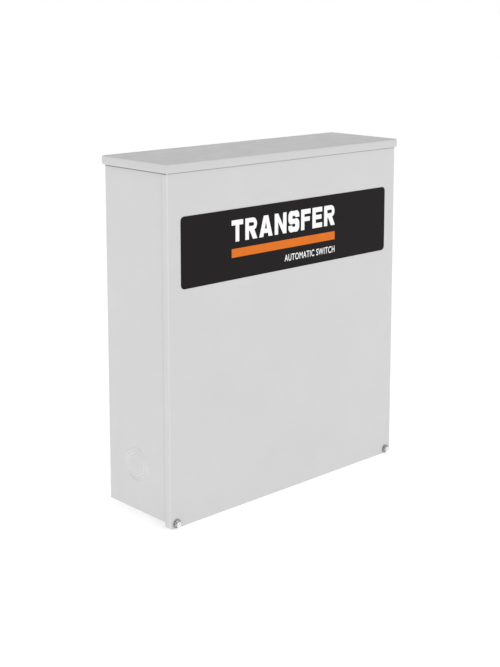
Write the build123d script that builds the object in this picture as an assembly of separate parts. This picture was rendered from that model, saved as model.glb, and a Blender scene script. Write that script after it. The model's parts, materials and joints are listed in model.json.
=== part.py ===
from build123d import *
import math
import os

# Automatic transfer switch in a wall-mounted, rain-tight sheet-steel enclosure.
# Millimetres. +X to the right seen from the front, +Y into the wall, +Z up.
# The origin is on the wall face, at the centre of the four wall bolts.

# ---- driving dimensions: enclosure -------------------------------------------------
SHEET = 1.5                 # steel sheet of the box, the hood and the cover
COVER_W = 480.0             # the cover's outside width
DEPTH = 145.0               # wall face to the cover's front face
BOX_BOTTOM = -256.5         # lower edge of the side and back walls
FLOOR_RISE = 4.5            # the walls hang this far below the bottom panel, as a drip edge
LIP_BOTTOM = 252.0          # lower edge of the hood's drip lip
HOOD_H = 14.0               # height of the drip lip
HOOD_OVER = 3.0             # the hood stands this far out past the cover's sides
HOOD_FRONT_GAP = 2.0        # between the cover's face and the inside of the lip
COVER_DROP = 8.5            # the cover hangs this far below the walls
COVER_SIDE_GAP = 0.75       # between the cover's side flanges and the box
COVER_FLANGE = 11.0         # depth of the cover's side flanges and bottom return
COVER_CORNER = 6.0          # radius of the cover's bottom corners
FRONT_FLANGE = 12.0         # width of the box's front flanges
BEND = 2.5                  # outside radius of a bend
HOOD_CORNER = 4.0           # radius of the hood's front corners
LIP_END = 3.0               # radius at the rear lower ends of the drip lip

# ---- driving dimensions: transfer mechanism ----------------------------------------
PANEL_BACK = -12.0          # rear face of the sub-panel
PANEL_T = 2.0
SHAFT_Y = -58.0             # axis of the transfer shaft, at Z = 0
SHAFT_R = 5.0
THROW = 40.0                # degrees from the utility to the generator position
ARM = 46.0                  # pivot to the tip of a moving contact
POLES = (-78.0, -12.0)      # centres of the two poles along X
POLE_PITCH = POLES[1] - POLES[0]
BARRIER_T = 6.0
BASE_H = 230.0              # height of the moulded base
BARRIER_H = 190.0
BARRIER_FRONT = -124.0
CRANK = 24.0                # shaft to crank pin
COIL_X = 73.0               # the solenoids' centre line
DRIVE_X = (27.0, 107.0)     # outer faces of the two drive plates
DRIVE_T = 3.0
SPRING_ANCHOR_Y = -28.0     # fixed post of the toggle spring

# ---- driving dimensions: controls and terminals ------------------------------------
RAIL_Z = 126.0              # centre of the DIN rail
FUSE_W = 18.0
FUSE_COUNT = 3
FUSE_X0 = 130.0             # left edge of the first fuse holder
WIRE_R = 1.6
RUN_GAP = 0.3               # clearance between parts that slide past each other

# ---- worked out from the dimensions above ------------------------------------------
BOX_W = COVER_W - 2 * (SHEET + COVER_SIDE_GAP)
BOX_FRONT = -(DEPTH - SHEET - 1.0)
HOOD_TOP = LIP_BOTTOM + HOOD_H
BOX_TOP = HOOD_TOP - SHEET
COVER_BOTTOM = BOX_BOTTOM - COVER_DROP
FLOOR_Z = BOX_BOTTOM + FLOOR_RISE                # underside of the bottom panel
BEAD_R = 2.5
HOOK_GAP = 0.4
HOOK_R = BEAD_R + HOOK_GAP                       # inside of the cover's hook
PIVOT_Y = -(DEPTH - SHEET) + HOOK_R
PIVOT_Z = LIP_BOTTOM - 2.0
COVER_TOP = PIVOT_Z + HOOK_R + SHEET
RAIL_FOOT_Z = PIVOT_Z - 18.0                     # lower edge of the header rail
SCREW_X = COVER_W / 2 - 12.5
SCREW_Z = COVER_BOTTOM + 8.0
PANEL_FRONT = PANEL_BACK - PANEL_T
HALF_THROW = math.radians(THROW / 2)
CRANK_RISE = CRANK * math.sin(HALF_THROW)        # the pin's height above the shaft at rest
ARMATURE_Y = SHAFT_Y - CRANK * (1 + math.cos(HALF_THROW)) / 2


def block(x, y, z):
    """A box from its (low, high) limits along each axis."""
    spans = [sorted(pair) for pair in (x, y, z)]
    size = [high - low for low, high in spans]
    middle = [(high + low) / 2 for low, high in spans]
    return Pos(*middle) * Box(*size)


def rod(axis, radius, span, at):
    """A cylinder along an axis, over a span of it, at the other two coordinates in X, Y, Z order."""
    low, high = sorted(span)
    shape = Cylinder(radius, high - low)
    middle = (low + high) / 2
    if axis == "X":
        return Pos(middle, *at) * Rot(0, 90, 0) * shape
    if axis == "Y":
        return Pos(at[0], middle, at[1]) * Rot(90, 0, 0) * shape
    return Pos(*at, middle) * shape


def mirror_z(shape):
    return mirror(shape, about=Plane.XY)


def turned(shape, degrees):
    """Turns a shape about the transfer shaft."""
    axis = Axis((0, SHAFT_Y, 0), (1, 0, 0))
    return shape.rotate(axis, degrees)


def separate(shapes):
    """Several solids in one node, not fused."""
    return Compound([solid for shape in shapes for solid in shape.solids()])


# ---- enclosure ---------------------------------------------------------------------
KNOCKOUT_RADII = (17.5, 21.9, 25.0)     # 1, 1-1/4 and 1-1/2 inch trade sizes
KNOCKOUT_GROOVE = 0.8
KNOCKOUT_DEPTH = 0.7
KNOCKOUT_Y = -66.0
KNOCKOUT_Z = FLOOR_Z + 66.0
BOTTOM_KNOCKOUT_X = (-150.0, 0.0, 150.0)
WALL_BOLT_X = 205.0
WALL_BOLT_Z = 225.0
WALL_BOLT_R = 4.0


def knockout_grooves():
    """Part-sheared rings of a concentric knockout, about Z, cut down from Z = 0, between its tie tabs."""
    rings = []
    for turn, radius in enumerate(KNOCKOUT_RADII):
        ring = Cylinder(radius, 2 * KNOCKOUT_DEPTH) - Cylinder(radius - KNOCKOUT_GROOVE, 4 * KNOCKOUT_DEPTH)
        tab = Box(2.6 * radius, 3.5, 4 * KNOCKOUT_DEPTH)
        rings.append(ring - Rot(0, 0, 60 * turn) * tab)
    return Part() + rings


def enclosure_body():
    """Back and sides bent from one sheet, with narrow flanges along the front."""
    height = BOX_TOP - BOX_BOTTOM
    depth = -BOX_FRONT
    middle = Pos(0, BOX_FRONT / 2)
    outer = middle * RectangleRounded(BOX_W, depth, BEND)
    inner = middle * RectangleRounded(BOX_W - 2 * SHEET, depth - 2 * SHEET, BEND - SHEET)
    mouth = Pos(0, BOX_FRONT) * Rectangle(BOX_W - 2 * FRONT_FLANGE, 4 * SHEET)
    body = Pos(0, 0, BOX_BOTTOM) * extrude(outer - inner - mouth, height)
    # room for the cover's top edge to swing back, above the header rail
    body -= block((-COVER_W, COVER_W), (BOX_FRONT - 1, BOX_FRONT + 10.5), (PIVOT_Z - 3, HOOD_TOP))
    # the front flanges stop at the header rail, and at the bottom panel's bend
    inside = BOX_W / 2 - SHEET
    for span in ((RAIL_FOOT_Z, HOOD_TOP), (BOX_BOTTOM - 1, FLOOR_Z + 4)):
        body -= block((-inside, inside), (BOX_FRONT - 1, BOX_FRONT + 4), span)
    for x in (-WALL_BOLT_X, WALL_BOLT_X):
        for z in (-WALL_BOLT_Z, WALL_BOLT_Z):
            body -= rod("Y", WALL_BOLT_R, (-5, 5), (x, z))
    for side in (-1, 1):
        spot = Location((side * BOX_W / 2, KNOCKOUT_Y, KNOCKOUT_Z), (0, side * 90, 0))
        body -= spot * knockout_grooves()
    return body


def bottom_panel():
    """Floor of the box, bent down along the front to take the cover screws."""
    half = BOX_W / 2 - SHEET
    shelf = block((-half, half), (BOX_FRONT, -SHEET), (FLOOR_Z, FLOOR_Z + SHEET))
    apron = block((-half, half), (BOX_FRONT, BOX_FRONT + SHEET), (FLOOR_Z - 10.5, FLOOR_Z + SHEET))
    panel = shelf + apron
    bend = panel.edges().filter_by(Axis.X).filter_by_position(Axis.Z, FLOOR_Z + 1, FLOOR_Z + 2)
    panel = fillet(bend.sort_by(Axis.Y)[0], BEND - SHEET)
    panel = fillet(panel.edges().filter_by(Axis.Z).group_by(Axis.Y)[-1], BEND - SHEET)
    for x in (-SCREW_X, SCREW_X):
        panel -= rod("Y", 2.7, (BOX_FRONT - 2, BOX_FRONT + 4), (x, SCREW_Z))
    for x in BOTTOM_KNOCKOUT_X:
        panel -= Location((x, KNOCKOUT_Y, FLOOR_Z), (180, 0, 0)) * knockout_grooves()
    return panel


def rain_hood():
    """Shallow pan over the top, with a drip lip on the front and the sides."""
    half = COVER_W / 2 + HOOD_OVER
    front = -(DEPTH + HOOD_FRONT_GAP + SHEET)
    outer = block((-half, half), (front, 0), (LIP_BOTTOM, HOOD_TOP))
    outer = fillet(outer.edges().filter_by(Axis.Z).group_by(Axis.Y)[0], HOOD_CORNER)
    outer = fillet(outer.edges().filter_by(Axis.Z).group_by(Axis.Y)[-1], 1.0)
    outer = fillet(outer.faces().sort_by(Axis.Z)[-1].edges(), BEND)
    outer = fillet(outer.faces().sort_by(Axis.Y)[-1].edges().sort_by(Axis.Z)[0], LIP_END)
    inner = block((SHEET - half, half - SHEET), (front + SHEET, 5), (LIP_BOTTOM - 5, BOX_TOP))
    inner = fillet(inner.edges().filter_by(Axis.Z).group_by(Axis.Y)[0], HOOD_CORNER - SHEET)
    return outer - inner


def header_rail():
    """Strip across the top of the opening. The cover hooks over its rolled upper edge and swings on it."""
    half = BOX_W / 2 - SHEET
    strip = block((-half, half), (PIVOT_Y - SHEET / 2, PIVOT_Y + SHEET / 2), (RAIL_FOOT_Z, PIVOT_Z))
    foot = block((-half, half), (PIVOT_Y - SHEET / 2, PIVOT_Y + 10), (RAIL_FOOT_Z, RAIL_FOOT_Z + SHEET))
    return strip + foot + rod("X", BEAD_R, (-half, half), (PIVOT_Y, PIVOT_Z))


def cover_nuts():
    """Clinch nuts behind the bottom panel's apron."""
    nuts = []
    for x in (-SCREW_X, SCREW_X):
        back = BOX_FRONT + SHEET
        nut = rod("Y", 4.6, (back, back + 3.5), (x, SCREW_Z))
        nuts.append(nut - rod("Y", 2.6, (back - 1, back + 5), (x, SCREW_Z)))
    return separate(nuts)


# ---- cover -------------------------------------------------------------------------
LABEL_X = 216.0
LABEL_Z = (85.5, 189.5)
LABEL_T = 0.4
DIAGRAM_X = 90.0
DIAGRAM_Z = (-90.0, 60.0)


def front_cover():
    """Lift-off cover: a face with side flanges, a bottom return and a hook along the top."""
    half = COVER_W / 2
    outer = block((-half, half), (-DEPTH, COVER_FLANGE - DEPTH), (COVER_BOTTOM, COVER_TOP))
    outer = fillet(outer.edges().filter_by(Axis.Y).group_by(Axis.Z)[0], COVER_CORNER)
    front = outer.faces().sort_by(Axis.Y)[0]
    outer = fillet(front.edges(), BEND)
    inner = block(
        (SHEET - half, half - SHEET), (SHEET - DEPTH, COVER_FLANGE), (COVER_BOTTOM + SHEET, COVER_TOP + 5)
    )
    inner = fillet(inner.edges().filter_by(Axis.Y).group_by(Axis.Z)[0], COVER_CORNER - SHEET)
    front = inner.faces().sort_by(Axis.Y)[0]
    inner = fillet(front.edges().sort_by(Axis.Z)[:-1], BEND - SHEET)
    cover = outer - inner
    # hook: across the middle only, clear of the box's front flanges
    reach = BOX_W / 2 - FRONT_FLANGE - 6
    hook_back = PIVOT_Y + HOOK_R + SHEET
    cover += block((-reach, reach), (1 - DEPTH, hook_back), (PIVOT_Z + HOOK_R, COVER_TOP))
    cover += block((-reach, reach), (hook_back - SHEET, hook_back), (PIVOT_Z + 0.5, COVER_TOP))
    for x in (-SCREW_X, SCREW_X):
        cover -= rod("Y", 3.2, (-DEPTH - 2, -DEPTH + 5), (x, SCREW_Z))
    return cover


def cover_label():
    low, high = LABEL_Z
    face = RectangleRounded(2 * LABEL_X, high - low, 6.5)
    film = extrude(face, LABEL_T / 2, both=True)
    return Pos(0, -DEPTH - LABEL_T / 2, (low + high) / 2) * Rot(90, 0, 0) * film


def wiring_diagram():
    return block((-DIAGRAM_X, DIAGRAM_X), (SHEET - DEPTH, SHEET - DEPTH + 0.3), DIAGRAM_Z)


def cover_screw(x):
    """Slotted hex washer-head screw, driven through the cover into a clinch nut."""
    face = -DEPTH
    washer = rod("Y", 6.6, (face - 1.3, face), (x, SCREW_Z))
    hexagon = Rot(90, 0, 0) * extrude(RegularPolygon(4.6, 6), 2.2, both=True)
    head = Pos(x, face - 1.3 - 2.1, SCREW_Z) * hexagon
    head = chamfer(head.faces().sort_by(Axis.Y)[0].edges(), 0.5)
    slot = block((x - 5, x + 5), (face - 6.5, face - 4.2), (SCREW_Z - 0.65, SCREW_Z + 0.65))
    shank = rod("Y", 2.4, (face, face + 12), (x, SCREW_Z))
    return head + washer + shank - slot


# ---- sub-panel ---------------------------------------------------------------------
PANEL_X = (-176.0, 218.0)
PANEL_Z = (-196.0, 196.0)
STUD_X = (-164.0, 206.0)
STUD_Z = (-184.0, 184.0)


def stud_places():
    return [(x, z) for x in STUD_X for z in STUD_Z]


def sub_panel():
    panel = block(PANEL_X, (PANEL_FRONT, PANEL_BACK), PANEL_Z)
    panel = fillet(panel.edges().filter_by(Axis.Y), 6)
    for place in stud_places():
        panel -= rod("Y", 3.3, (PANEL_FRONT - 1, PANEL_BACK + 1), place)
    return panel


def panel_studs():
    """Shouldered studs that hold the sub-panel off the back of the box."""
    studs = []
    for place in stud_places():
        shoulder = rod("Y", 6, (PANEL_BACK, -SHEET), place)
        studs.append(shoulder + rod("Y", 3, (PANEL_FRONT - 9, PANEL_BACK), place))
    return separate(studs)


def panel_nuts():
    nuts = []
    for x, z in stud_places():
        hexagon = Pos(x, PANEL_FRONT, z) * Rot(90, 0, 0) * extrude(RegularPolygon(5.8, 6), 5)
        nuts.append(hexagon - rod("Y", 3.05, (PANEL_FRONT - 8, PANEL_FRONT + 1), (x, z)))
    return separate(nuts)


# ---- transfer mechanism ------------------------------------------------------------
BASE_X = (POLES[0] - POLE_PITCH / 2 - BARRIER_T / 2, POLES[1] + POLE_PITCH / 2 + BARRIER_T / 2)
BASE_T = 10.0
CROSSBAR_R = 11.0
PEDESTAL_FRONT = -60.0
PEDESTAL_Z = (86.0, BASE_H / 2)
STRAP_T = 4.0
STRAP_W = 20.0
STRAP_Y = -96.0             # front face of a fixed contact's strap
CONTACT_Z = 25.0            # lower end of the utility strap
CONTACT_GAP = 0.2           # between closed contacts
PAD_T = 1.9                 # thickness of a moving contact's silver pad
ARM_T = 8.0
SHELF_Z = 92.0              # where the strap bends back to its lug
LUG_W = 30.0
LUG_D = 30.0
LUG_H = 40.0
LUG_BORE = 8.5
LOAD_TOP = 14.0
LOAD_BOTTOM = -176.0


def mechanism_base():
    """Moulded insulating base: back, three barriers and the pedestals under the terminals."""
    back = PANEL_FRONT - BASE_T
    base = block(BASE_X, (back, PANEL_FRONT), (-BASE_H / 2, BASE_H / 2))
    for index in range(3):
        middle = POLES[0] + (index - 0.5) * POLE_PITCH
        sides = (middle - BARRIER_T / 2, middle + BARRIER_T / 2)
        barrier = block(sides, (BARRIER_FRONT, back), (-BARRIER_H / 2, BARRIER_H / 2))
        barrier = chamfer(barrier.edges().filter_by(Axis.X).group_by(Axis.Y)[0], 10)
        base += barrier
    upper = block(BASE_X, (PEDESTAL_FRONT, back), PEDESTAL_Z)
    base += upper
    base += mirror_z(upper)
    base -= rod("X", CROSSBAR_R + RUN_GAP, (BASE_X[0] - 5, BASE_X[1] + 5), (SHAFT_Y, 0))
    for x in POLES:
        # slots that let the load bars out at the bottom
        base -= block((x - STRAP_W / 2 - 1, x + STRAP_W / 2 + 1), (back - 5.5, back), (-BASE_H, -80))
    return base


def lug(x, front, z):
    """Extruded box lug: wire bore along Z, screw bore from the front."""
    low, high = z
    body = block((x - LUG_W / 2, x + LUG_W / 2), (front, front + LUG_D), (low, high))
    body = fillet(body.edges().filter_by(Axis.Z), 3)
    middle = front + LUG_D / 2 + 2
    body -= rod("Z", LUG_BORE, (low - 1, high + 1), (x, middle))
    return body - rod("Y", 5.1, (front - 1, middle), (x, (low + high) / 2))


def lug_screw(x, front, z):
    """Hollow-hex set screw, standing a little out of its lug."""
    socket = Rot(90, 0, 0) * extrude(RegularPolygon(3.0, 6), 5, both=True)
    return rod("Y", 5.0, (front - 4, front + 8), (x, z)) - Pos(x, front - 4, z) * socket


def contact_strap(x):
    """Utility strap of one pole: contact toe, riser, shelf and the tang behind its lug."""
    side = (x - STRAP_W / 2, x + STRAP_W / 2)
    low = ARM_T / 2 + PAD_T + CONTACT_GAP + 4
    toe = turned(block(side, (SHAFT_Y - ARM + 1, SHAFT_Y - ARM + 11), (low, low + STRAP_T)), -THROW / 2)
    riser = block(side, (STRAP_Y, STRAP_Y + STRAP_T), (CONTACT_Z, SHELF_Z))
    shelf = block(side, (STRAP_Y, PEDESTAL_FRONT), (SHELF_Z, SHELF_Z + STRAP_T))
    tang = block(side, (PEDESTAL_FRONT - STRAP_T, PEDESTAL_FRONT), (SHELF_Z, SHELF_Z + 44))
    return toe + riser + shelf + tang


def fixed_pad(x):
    """Silver pad under the toe of a strap, square to the arm when the arm is against it."""
    low = ARM_T / 2 + PAD_T + CONTACT_GAP
    return turned(block((x - 7, x + 7), (SHAFT_Y - ARM + 1, SHAFT_Y - ARM + 11), (low, low + 4)), -THROW / 2)


def fixed_contacts():
    """Straps and pads of both poles: utility above the shaft, generator below it."""
    upper = [make(x) for x in POLES for make in (contact_strap, fixed_pad)]
    return separate(upper + [mirror_z(shape) for shape in upper])


UPPER_LUG_FRONT = PEDESTAL_FRONT - STRAP_T - LUG_D
UPPER_LUG_Z = (SHELF_Z + STRAP_T, SHELF_Z + STRAP_T + LUG_H)
LOAD_BAR_FRONT = PANEL_FRONT - BASE_T - STRAP_T - 1
LOAD_LUG_FRONT = LOAD_BAR_FRONT - LUG_D
LOAD_LUG_Z = (LOAD_BOTTOM, LOAD_BOTTOM + LUG_H)


def load_bars():
    """Copper bars behind the barriers, from the pivots down to the load lugs."""
    bars = []
    for x in POLES:
        side = (x - STRAP_W / 2, x + STRAP_W / 2)
        bars.append(block(side, (LOAD_BAR_FRONT, LOAD_BAR_FRONT + STRAP_T), (LOAD_BOTTOM, -LOAD_TOP)))
    return separate(bars)


def terminal_lugs():
    """Utility, generator and load lugs of both poles."""
    lugs = []
    for x in POLES:
        upper = lug(x, UPPER_LUG_FRONT, UPPER_LUG_Z)
        lugs += [upper, mirror_z(upper), lug(x, LOAD_LUG_FRONT, LOAD_LUG_Z)]
    return separate(lugs)


def lug_screws():
    middle = sum(UPPER_LUG_Z) / 2
    screws = []
    for x in POLES:
        screws.append(lug_screw(x, UPPER_LUG_FRONT, middle))
        screws.append(lug_screw(x, UPPER_LUG_FRONT, -middle))
        screws.append(lug_screw(x, LOAD_LUG_FRONT, sum(LOAD_LUG_Z) / 2))
    return separate(screws)


ARC_Y = (-123.0, -107.0)
ARC_PITCH = 7.0
ARC_COUNT = 12
ARC_HALF_W = 24.0


def arc_plates():
    """Steel splitter plates in front of the contact tips."""
    plates = []
    for x in POLES:
        for index in range(ARC_COUNT):
            z = (index - (ARC_COUNT - 1) / 2) * ARC_PITCH
            plate = block((x - ARC_HALF_W, x + ARC_HALF_W), ARC_Y, (z - 0.6, z + 0.6))
            notch = block((x - 6, x + 6), (ARC_Y[1] - 7, ARC_Y[1] + 1), (z - 2, z + 2))
            plates.append(plate - notch)
    return separate(plates)


def arc_cheeks():
    """Fibre side sheets that carry the splitter plates."""
    half = ARC_COUNT * ARC_PITCH / 2 + 2
    cheeks = []
    for x in POLES:
        for side in (-1, 1):
            inner = x + side * ARC_HALF_W
            cheeks.append(block((inner, inner + side * 2), (ARC_Y[0] - 1, ARC_Y[1] + 1), (-half, half)))
    return separate(cheeks)


def crossbar():
    """Moulded bar that carries the moving contacts, with a square boss in each pole."""
    bar = rod("X", CROSSBAR_R, BASE_X, (SHAFT_Y, 0))
    for x in POLES:
        boss = block((x - 15, x + 15), (SHAFT_Y - 14, SHAFT_Y + 10), (-10, 10))
        bar += fillet(boss.edges().filter_by(Axis.X), 3)
        bar -= block((x - 8.1, x + 8.1), (SHAFT_Y - 20, SHAFT_Y - 9), (-4.1, 4.1))
    bar -= rod("X", SHAFT_R + 0.03, (BASE_X[0] - 1, BASE_X[1] + 1), (SHAFT_Y, 0))
    return turned(bar, -THROW / 2)


def moving_contacts():
    """Copper arms with a silver pad above and below the tip."""
    half = ARM_T / 2
    arms = []
    for x in POLES:
        arm = block((x - 8, x + 8), (SHAFT_Y - ARM, SHAFT_Y - 9), (-half, half))
        arms.append(fillet(arm.edges().filter_by(Axis.X).group_by(Axis.Y)[0], 2))
        for side in (-1, 1):
            face = (side * half, side * (half + PAD_T))
            arms.append(block((x - 6, x + 6), (SHAFT_Y - ARM + 2, SHAFT_Y - ARM + 10), face))
    return separate([turned(shape, -THROW / 2) for shape in arms])


BRAID_START_Z = -30.0
BRAID_REACH = 20.0          # from the shaft's axis, along the arm
BRAID_W = 12.0
BRAID_T = 4.0


def load_braids():
    """Flexible copper braids from the load bars to the undersides of the moving arms."""
    cosine = math.cos(HALF_THROW)
    sine = math.sin(HALF_THROW)
    drop = ARM_T / 2
    end_y = SHAFT_Y - BRAID_REACH * cosine - drop * sine
    end_z = BRAID_REACH * sine - drop * cosine
    below = (end_y - 14 * sine, end_z - 14 * cosine)
    braids = []
    for x in POLES:
        start = (x, LOAD_BAR_FRONT, BRAID_START_Z)
        points = [start, (x, SHAFT_Y - BRAID_REACH - 2, BRAID_START_Z), (x, *below), (x, end_y, end_z)]
        path = FilletPolyline(*points, radius=8)
        across = Plane(origin=start, x_dir=(1, 0, 0), z_dir=(0, -1, 0))
        section = across * RectangleRounded(BRAID_W, BRAID_T, 1.5)
        braids.append(sweep(section, path=path))
    return separate(braids)


SHAFT_X = (-134.0, 113.0)


def transfer_shaft():
    """Steel shaft through the crossbar, with flats at the left for the handle."""
    shaft = rod("X", SHAFT_R, SHAFT_X, (SHAFT_Y, 0))
    return chamfer(shaft.edges().filter_by(GeomType.CIRCLE), 0.8)


def crank():
    """Drive crank between the plates. Its pin works the armature yoke."""
    arm_x = (58.0, 66.0)
    web = block(arm_x, (SHAFT_Y - CRANK, SHAFT_Y), (-5, 5))
    hub = rod("X", 10, arm_x, (SHAFT_Y, 0))
    eye = rod("X", 6, arm_x, (SHAFT_Y - CRANK, 0))
    pin = rod("X", 3, (arm_x[0], 80), (SHAFT_Y - CRANK, 0))
    bore = rod("X", SHAFT_R + 0.03, (arm_x[0] - 1, arm_x[1] + 1), (SHAFT_Y, 0))
    return turned(web + hub + eye + pin - bore, -THROW / 2)


TOGGLE_X = (108.0, 112.0)
TOGGLE_PIN_R = 2.5
TOGGLE_EYE_R = 5.0


def toggle_arm():
    """Arm on the shaft's right end. Its pin stretches the toggle spring."""
    web = block(TOGGLE_X, (SHAFT_Y - CRANK, SHAFT_Y), (-4, 4))
    hub = rod("X", 8, TOGGLE_X, (SHAFT_Y, 0))
    eye = rod("X", TOGGLE_EYE_R, TOGGLE_X, (SHAFT_Y - CRANK, 0))
    pin = rod("X", TOGGLE_PIN_R, (TOGGLE_X[0], 124), (SHAFT_Y - CRANK, 0))
    bore = rod("X", SHAFT_R + 0.03, (TOGGLE_X[0] - 1, TOGGLE_X[1] + 1), (SHAFT_Y, 0))
    return turned(web + hub + eye + pin - bore, -THROW / 2)


SPRING_X = 118.0
SPRING_WIRE = 1.0
SPRING_COIL_R = 3.5
LOOP_R = 4.4


def toggle_spring():
    """Tension spring from the toggle pin back to its fixed post, as rings in a row joined by a core line."""
    pin_y = SHAFT_Y - CRANK * math.cos(HALF_THROW)
    rise = math.atan2(CRANK_RISE, SPRING_ANCHOR_Y - pin_y)
    length = math.hypot(CRANK_RISE, SPRING_ANCHOR_Y - pin_y) + 0.4
    body_start = LOOP_R + 1.5
    body_end = length - LOOP_R - 1.5
    turns = int((body_end - body_start) / (2 * SPRING_WIRE))
    coil = Cylinder(SPRING_COIL_R + SPRING_WIRE, body_end - body_start)
    coil -= Cylinder(SPRING_COIL_R - SPRING_WIRE, body_end)
    coil = Rot(90, 0, 0) * coil
    coil = Pos(0, -length / 2, 0) * coil
    for index in range(1, turns):
        y = -(body_start + index * (body_end - body_start) / turns)
        groove = Pos(0, y, 0) * Rot(90, 0, 0) * Torus(SPRING_COIL_R + SPRING_WIRE, 0.45)
        coil -= groove
    loops = []
    for y in (0.0, -length):
        ring = Rot(0, 90, 0) * Torus(LOOP_R, SPRING_WIRE)
        loops.append(Pos(0, y, 0) * ring)
    neck = SPRING_COIL_R + 0.3
    ties = [
        block((-1, 1), (-(body_start + 1.5), -LOOP_R), (-neck, neck)),
        block((-1, 1), (LOOP_R - length, 1.5 - body_end), (-neck, neck)),
    ]
    spring = coil + loops + ties
    return Pos(SPRING_X, SPRING_ANCHOR_Y, 0) * Rot(-math.degrees(rise), 0, 0) * spring


def spring_post():
    """Headed post on the right drive plate that anchors the toggle spring."""
    post = rod("X", TOGGLE_PIN_R, (DRIVE_X[1], 124), (SPRING_ANCHOR_Y, 0))
    collar = rod("X", 4.5, (DRIVE_X[1], DRIVE_X[1] + 4), (SPRING_ANCHOR_Y, 0))
    return post + collar + rod("X", 4.5, (123, 125), (SPRING_ANCHOR_Y, 0))


HANDLE_X = (-132.0, -120.0)
HANDLE_LENGTH = 76.0


def manual_handle():
    """Steel lever on the shaft's left end."""
    hub = rod("X", 11, HANDLE_X, (SHAFT_Y, 0))
    middle = sum(HANDLE_X) / 2
    lever = rod("Y", 4, (SHAFT_Y - HANDLE_LENGTH, SHAFT_Y), (middle, 0))
    bore = rod("X", SHAFT_R + 0.03, (HANDLE_X[0] - 1, HANDLE_X[1] + 1), (SHAFT_Y, 0))
    return turned(hub + lever - bore, -THROW / 2)


def handle_grip():
    """Moulded grip pushed on the lever."""
    middle = sum(HANDLE_X) / 2
    tip = SHAFT_Y - HANDLE_LENGTH - 3
    grip = rod("Y", 7.5, (tip, tip + 46), (middle, 0))
    ends = grip.edges().filter_by(GeomType.CIRCLE)
    grip = fillet(ends, 3)
    for index in range(5):
        groove = Pos(middle, tip + 9 + 7 * index, 0) * Rot(90, 0, 0) * Torus(8.3, 1.6)
        grip -= groove
    grip -= rod("Y", 4.03, (tip + 3, tip + 50), (middle, 0))
    return turned(grip, -THROW / 2)


# ---- drive: plates, coils and armature ---------------------------------------------
COIL_R = 25.0
COIL_Z = (31.0, 81.0)
FRAME_T = 4.0
PLUNGER_R = 8.0
TRAVEL = 2 * CRANK_RISE


def drive_plate(x0):
    """One of the two steel plates that carry the shaft and the coils, with a foot on the sub-panel."""
    sides = (x0, x0 + DRIVE_T)
    plate = block(sides, (-116, PANEL_FRONT), (-92, 92))
    plate = fillet(plate.edges().filter_by(Axis.X).group_by(Axis.Y)[0], 8)
    out = 1 if x0 > COIL_X else -1
    foot_x = (x0, x0 + DRIVE_T + 12) if out > 0 else (x0, x0 + 16)
    for z in (-80, 80):
        foot = block(foot_x, (PANEL_FRONT - DRIVE_T, PANEL_FRONT), (z - 10, z + 10))
        middle = foot_x[0] + 10 if out > 0 else foot_x[1] - 6
        plate += foot - rod("Y", 2.6, (PANEL_FRONT - 5, PANEL_FRONT + 1), (middle, z))
    return plate - rod("X", SHAFT_R + 0.05, (x0 - 1, x0 + DRIVE_T + 1), (SHAFT_Y, 0))


def drive_plates():
    return separate([drive_plate(DRIVE_X[0]), drive_plate(DRIVE_X[1] - DRIVE_T)])


def coil_bobbin():
    """Spool of the utility coil, with the plunger's bore."""
    bore = PLUNGER_R + RUN_GAP
    spool = rod("Z", COIL_R + 1.5, (COIL_Z[0], COIL_Z[0] + 2.5), (COIL_X, ARMATURE_Y))
    spool += rod("Z", COIL_R + 1.5, (COIL_Z[1] - 2.5, COIL_Z[1]), (COIL_X, ARMATURE_Y))
    spool += rod("Z", bore + 2, COIL_Z, (COIL_X, ARMATURE_Y))
    return spool - rod("Z", bore, (0, 120), (COIL_X, ARMATURE_Y))


def coil_winding():
    inner = PLUNGER_R + RUN_GAP + 2.05
    span = (COIL_Z[0] + 2.5, COIL_Z[1] - 2.5)
    winding = rod("Z", COIL_R, span, (COIL_X, ARMATURE_Y))
    return winding - rod("Z", inner, (0, 120), (COIL_X, ARMATURE_Y))


def coil_frame():
    """Iron plates above and below the utility coil, held between the drive plates."""
    across = (DRIVE_X[0] + DRIVE_T, DRIVE_X[1] - DRIVE_T)
    deep = (ARMATURE_Y - COIL_R - 2, ARMATURE_Y + COIL_R + 2)
    lower = block(across, deep, (COIL_Z[0] - FRAME_T, COIL_Z[0]))
    lower -= rod("Z", PLUNGER_R + RUN_GAP, (0, 120), (COIL_X, ARMATURE_Y))
    upper = block(across, deep, (COIL_Z[1], COIL_Z[1] + FRAME_T))
    stop = rod("Z", PLUNGER_R, (COIL_Z[1] - 8, COIL_Z[1]), (COIL_X, ARMATURE_Y))
    return separate([lower, upper + stop])


def with_mirror(make):
    """The same parts for the generator coil below."""
    shape = make()
    return separate([shape, mirror_z(shape)])


def armature():
    """Both plungers and the slotted yoke between them, in the utility position."""
    half_yoke = 14.0
    low, high = CRANK_RISE - half_yoke, CRANK_RISE + half_yoke
    yoke = block((COIL_X - 4, COIL_X + 4), (ARMATURE_Y - 12, ARMATURE_Y + 12), (low, high))
    slot_z = (CRANK_RISE - 3.25, CRANK_RISE + 3.25)
    yoke -= block((COIL_X - 8, COIL_X + 8), (ARMATURE_Y - 6, ARMATURE_Y + 6), slot_z)
    top = COIL_Z[1] - 9
    upper = rod("Z", PLUNGER_R, (high, top), (COIL_X, ARMATURE_Y))
    lower = rod("Z", PLUNGER_R, (TRAVEL - top, low), (COIL_X, ARMATURE_Y))
    return yoke + upper + lower


# ---- limit switches ----------------------------------------------------------------
SWITCH_X = (108.0, 118.0)
LEVER_AXIS_Y = -104.0
LEVER_SWING = 12.0
LEAF_T = 0.8
LEAF_LENGTH = 27.0


def lever_axis_z():
    """The leaf lies just clear of the toggle arm's eye in the utility position."""
    return CRANK_RISE + TOGGLE_EYE_R + 0.4 + LEAF_T / 2


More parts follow.
